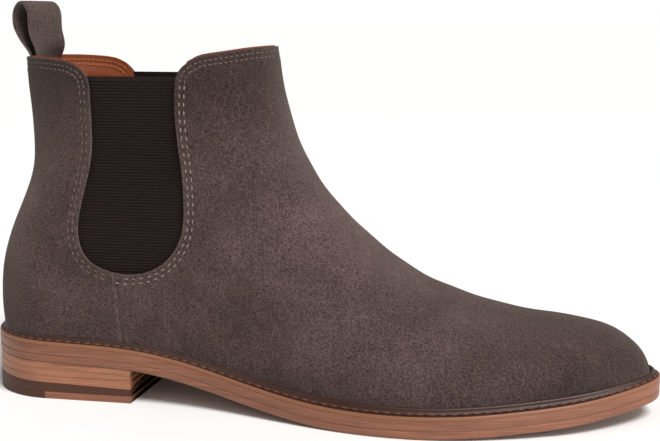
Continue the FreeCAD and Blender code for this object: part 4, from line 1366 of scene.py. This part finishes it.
@dataclass
class Heel:
    """Stacked leather lifts over a rubber top piece with a leather insert."""

    length: float = 75.0
    half: float = 34.0
    hollow: float = 2.6
    insert_start: float = 34.0
    insert_top: float = 3.25
    rubber_back: float = 8.4
    rubber_breast: float = 6.3
    lifts: int = 3

    def loop(self, start: Optional[float] = None, end: Optional[float] = None,
             taper: float = 0.0) -> Array:
        """D-shaped plan outline in two equal halves; start or end cuts it across.

        Args:
            start: station of a straight rear cut, or None for the round back.
            end: station of a straight front cut, or None for the hollow breast.
            taper: how far the outline is drawn in at this level.

        Returns:
            Closed plan line, rear middle first, lateral side first.
        """
        halves = []
        for side, corner in ((-1, self.half - 0.7), (1, self.half - 1.4)):
            half = self.half - taper
            corner -= taper
            if start is None:
                a = np.radians(np.linspace(0, 90, 50))
                rear = np.stack([self.half - half * np.cos(a),
                                 side * half * np.sin(a)], -1)
            else:
                rear = np.stack([np.full(24, start),
                                 side * (half - 0.02) * np.linspace(0, 1, 24)], -1)
            front = self.length if end is None else end
            flank = np.linspace(rear[-1], [front, side * corner], 30)[1:]
            y = corner * (1 - np.linspace(0, 1, 30))[1:]
            bow = self.hollow * (1 - (y / corner) ** 2) if end is None else 0 * y
            breast = np.stack([front - bow, side * y], -1)
            halves.append(np.vstack([rear, flank, breast]))
        return np.vstack([halves[0][:-1], halves[1][::-1][:-1]])

    def build(self, shop: Workshop, look: dict) -> None:
        """Makes the lifts, the rubber and the insert."""
        edge = [(0.07, 0.0), (0.02, 0.02), (0.0, 0.06), (0.0, 0.5), (0.0, 0.94),
                (0.02, 0.98), (0.07, 1.0)]
        for number in range(self.lifts):
            taper = 0.1 + 0.08 * number
            piece = slab(shop, "lift_%d" % (number + 1), self.loop(taper=taper),
                         self.stacked(number, 0.03), self.stacked(number + 1, -0.03), edge)
            shop.finish(piece, look["stacked_leather"], "stacked_leather",
                        stands_for=("heel_lift_%d" % (number + 1),))
        piece = slab(shop, "rubber_band", self.loop(taper=0.0),
                     self.flat(self.insert_top + 0.05), self.stacked(0, 0.0), edge)
        shop.finish(piece, look["heel_rubber"], "heel_rubber")
        piece = slab(shop, "rubber_tip", self.loop(end=self.insert_start - 0.05, taper=0.1),
                     self.flat(0.0), self.flat(self.insert_top + 0.06), edge)
        shop.finish(piece, look["heel_rubber"], "heel_rubber", stands_for=("heel_rubber",))
        piece = slab(shop, "insert_leather", self.loop(start=self.insert_start, taper=0.1),
                     self.flat(0.0), self.flat(self.insert_top), edge)
        shop.finish(piece, look["sole_leather"], "sole_leather", stands_for=("heel_insert",))

    def stacked(self, number: int, gap: float) -> Callable[[Array], Array]:
        """Joint above a number of lifts, which share the room between rubber and sole."""
        def height(x: Array) -> Array:
            """Height at stations x, moved by half the glue line."""
            rubber = self.rubber_back + (self.rubber_breast - self.rubber_back) * x / self.length
            return rubber + (LAST.tread_at(x) - rubber) * number / self.lifts + gap
        return height

    def flat(self, height: float) -> Callable[[Array], Array]:
        """A level face."""
        return lambda x: np.full(np.shape(x), float(height))


# ---------------------------------------------------------------- pull tab


@dataclass
class PullTab:
    """Suede strap folded into a loop, with both tails sewn in at the back of the collar."""

    width: float = 24.0
    thick: float = 1.5
    path: Sequence = ((22.1, 141), (22.1, 148), (22.8, 153.4), (24.2, 158), (24.7, 163.5),
                      (24.9, 170), (23.6, 175.6), (20.4, 177.7), (17.4, 175.2),
                      (16.2, 169.5), (17.5, 163), (19.1, 157.5), (20.1, 153), (20.3, 148),
                      (20.3, 141))
    twist: float = -13.0
    twist_centre: float = 21.5

    def build(self, shop: Workshop, look: dict) -> None:
        """Carries a rounded flat section along the loop, bent to the collar at its root."""
        line = along(spline(self.path, 400), np.linspace(0, 1, 130))
        t = unit(np.gradient(line, axis=0))
        across = np.stack([-t[:, 1], t[:, 0]], -1)
        a = np.linspace(0, 2 * math.pi, 56, endpoint=False)
        wide = np.sign(np.cos(a)) * np.abs(np.cos(a)) ** 0.22 * self.width / 2
        deep = np.sign(np.sin(a)) * np.abs(np.sin(a)) ** 0.5 * self.thick / 2
        x = line[:, :1] + across[:, :1] * deep
        z = line[:, 1:] + across[:, 1:] * deep
        y = np.broadcast_to(wide, x.shape).copy()
        free = smooth(153.5, 168.0, z)
        depth = LAST.back_reach + LAST.back_growth
        bow = depth * (1 - (1 - (y / LAST.shaft_half) ** 2) ** (1 / LAST.round_power))
        x = x + bow * (1 - free)
        y = y * (1 - 0.03 * np.exp(-((z - 157) / 4) ** 2))
        turn = np.radians(self.twist) * smooth(150.0, 161.0, z)
        dx, dy = x - self.twist_centre, y
        x = self.twist_centre + dx * np.cos(turn) - dy * np.sin(turn)
        y = dx * np.sin(turn) + dy * np.cos(turn)
        points = np.stack([x, y, z], -1)
        rows, ring = points.shape[:2]
        i = np.arange(rows * ring).reshape(rows, ring)
        faces = [bridge(p, q) for p, q in zip(i, i[1:])]
        half, triangles = ring // 2, []
        k = np.arange(1, half - 1)
        for row in (i[0], i[-1]):
            faces.append(np.stack([row[k], row[k + 1], row[-1 - k], row[-k]], -1))
            triangles += [row[[0, 1, -1]], row[[half - 1, half, half + 1]]]
        border = np.abs(wide) > self.width / 2 * 0.99
        raw = np.broadcast_to(border * 0.3, (rows, ring)).ravel()
        piece = shop.mesh("strap_loop", points.reshape(-1, 3), np.vstack(faces),
                          {"raw_edge_and_seam_highlight": raw}, triangles=np.vstack(triangles))
        bm_normals(piece)
        piece.data.materials.append(look["tab_suede"])
        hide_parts("pull_tab", "pull_tab_tails")
        start, end = shop.to_frame([(22.7, 0, 153.0), (22.7, 0, 161.0)])
        tuple(start)
        tuple(end)
        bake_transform(piece)


# ---------------------------------------------------------------- stage


@dataclass
class Studio:
    """Pale floor, soft lights and the camera.

    camera_place, camera_aim: millimetres, as the pieces are.
    """

    camera_place: Sequence[float] = (282.2, -549.7, 169.1)
    camera_aim: Sequence[float] = (159.04, 0.04, 80.8)
    lens: float = 69.3
    floor_half: float = 60.0    # metres

    def build(self, shop: Workshop) -> None:
        """Makes the stage."""
        place, aim = (Vector(p) for p in shop.to_frame([self.camera_place,
                                                        self.camera_aim]))
        data = bpy.data.cameras.new("camera")
        data.lens, data.sensor_width = self.lens, 36.0
        camera = placed("camera", data)
        camera.location = place
        camera.rotation_euler = (aim - place).to_track_quat("-Z", "Y").to_euler()
        bpy.context.scene.camera = camera
        bpy.context.scene.view_settings.view_transform = "Standard"
        self.sun("key", (0.6, -0.5, 1.2), 3.0, 26.0)
        self.softbox("side", (0.9, -0.6, 0.17), aim, 0.7, 3.2)
        world = bpy.data.worlds.new("studio")
        bpy.context.scene.world = world
        world.use_nodes = True
        tree = world.node_tree
        back = tree.nodes["Background"]
        back.inputs["Color"].default_value = (1.0, 1.0, 1.0, 1.0)
        seen = node(tree, "ShaderNodeLightPath").outputs["Is Camera Ray"]
        level = node(tree, "ShaderNodeMapRange", {"Value": seen, 3: 0.4, 4: 1.0})
        tree.links.new(level.outputs[0], back.inputs["Strength"])
        mesh = bpy.data.meshes.new("floor")
        far = self.floor_half
        mesh.from_pydata([(-far, -far, 0), (far, -far, 0), (far, far, 0), (-far, far, 0)],
                         [], [(0, 1, 2, 3)])
        floor = placed("floor", mesh)
        floor.location.z = float(CAD_BOX[0][2])
        material = bpy.data.materials.new("floor_paper")
        material.use_nodes = True
        shader = material.node_tree.nodes["Principled BSDF"]
        shader.inputs["Base Color"].default_value = linear("#f1f0ee")
        shader.inputs["Roughness"].default_value = 0.9
        floor.data.materials.append(material)

    def sun(self, name: str, toward: Sequence[float], power: float, spread: float) -> None:
        """Distant light, soft by its angular size in degrees."""
        data = bpy.data.lights.new(name, "SUN")
        data.energy, data.angle = power, math.radians(spread)
        lamp = placed(name, data)
        lamp.rotation_euler = Vector(toward).to_track_quat("Z", "Y").to_euler()

    def softbox(self, name: str, place: Sequence[float], aim: Vector, size: float,
                power: float) -> None:
        """One square softbox that faces the boot."""
        data = bpy.data.lights.new(name, "AREA")
        data.size, data.energy = size, power
        lamp = placed(name, data)
        lamp.location = place
        lamp.rotation_euler = (aim - Vector(place)).to_track_quat("-Z", "Y").to_euler()


HIDDEN_NODES = {"insole": "insole_board", "sock_liner": "lining_leather",
                "cork_filler": "cork", "shank": "shank_steel", "heel_nails": "nail_brass"}


def main() -> None:
    """Builds the boot piece by piece around the frame."""
    logging.basicConfig(level=logging.INFO, format="%(message)s")
    look = {name: finish.make() for name, finish in FINISHES.items()}
    shop = Workshop()
    Studio().build(shop)
    Upper().build(shop, look)
    for side in Side:
        Gore(side).build(shop, look)
    Stitching().build(shop, look)
    Sole().build(shop, look)
    Heel().build(shop, look)
    PullTab().build(shop, look)
    for name, finish in HIDDEN_NODES.items():
        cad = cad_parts[name]
        cad.data.materials.clear()
        cad.data.materials.append(look[finish])
    log.info("%d pieces", shop.pieces)


if __name__ == "__main__":
    main()
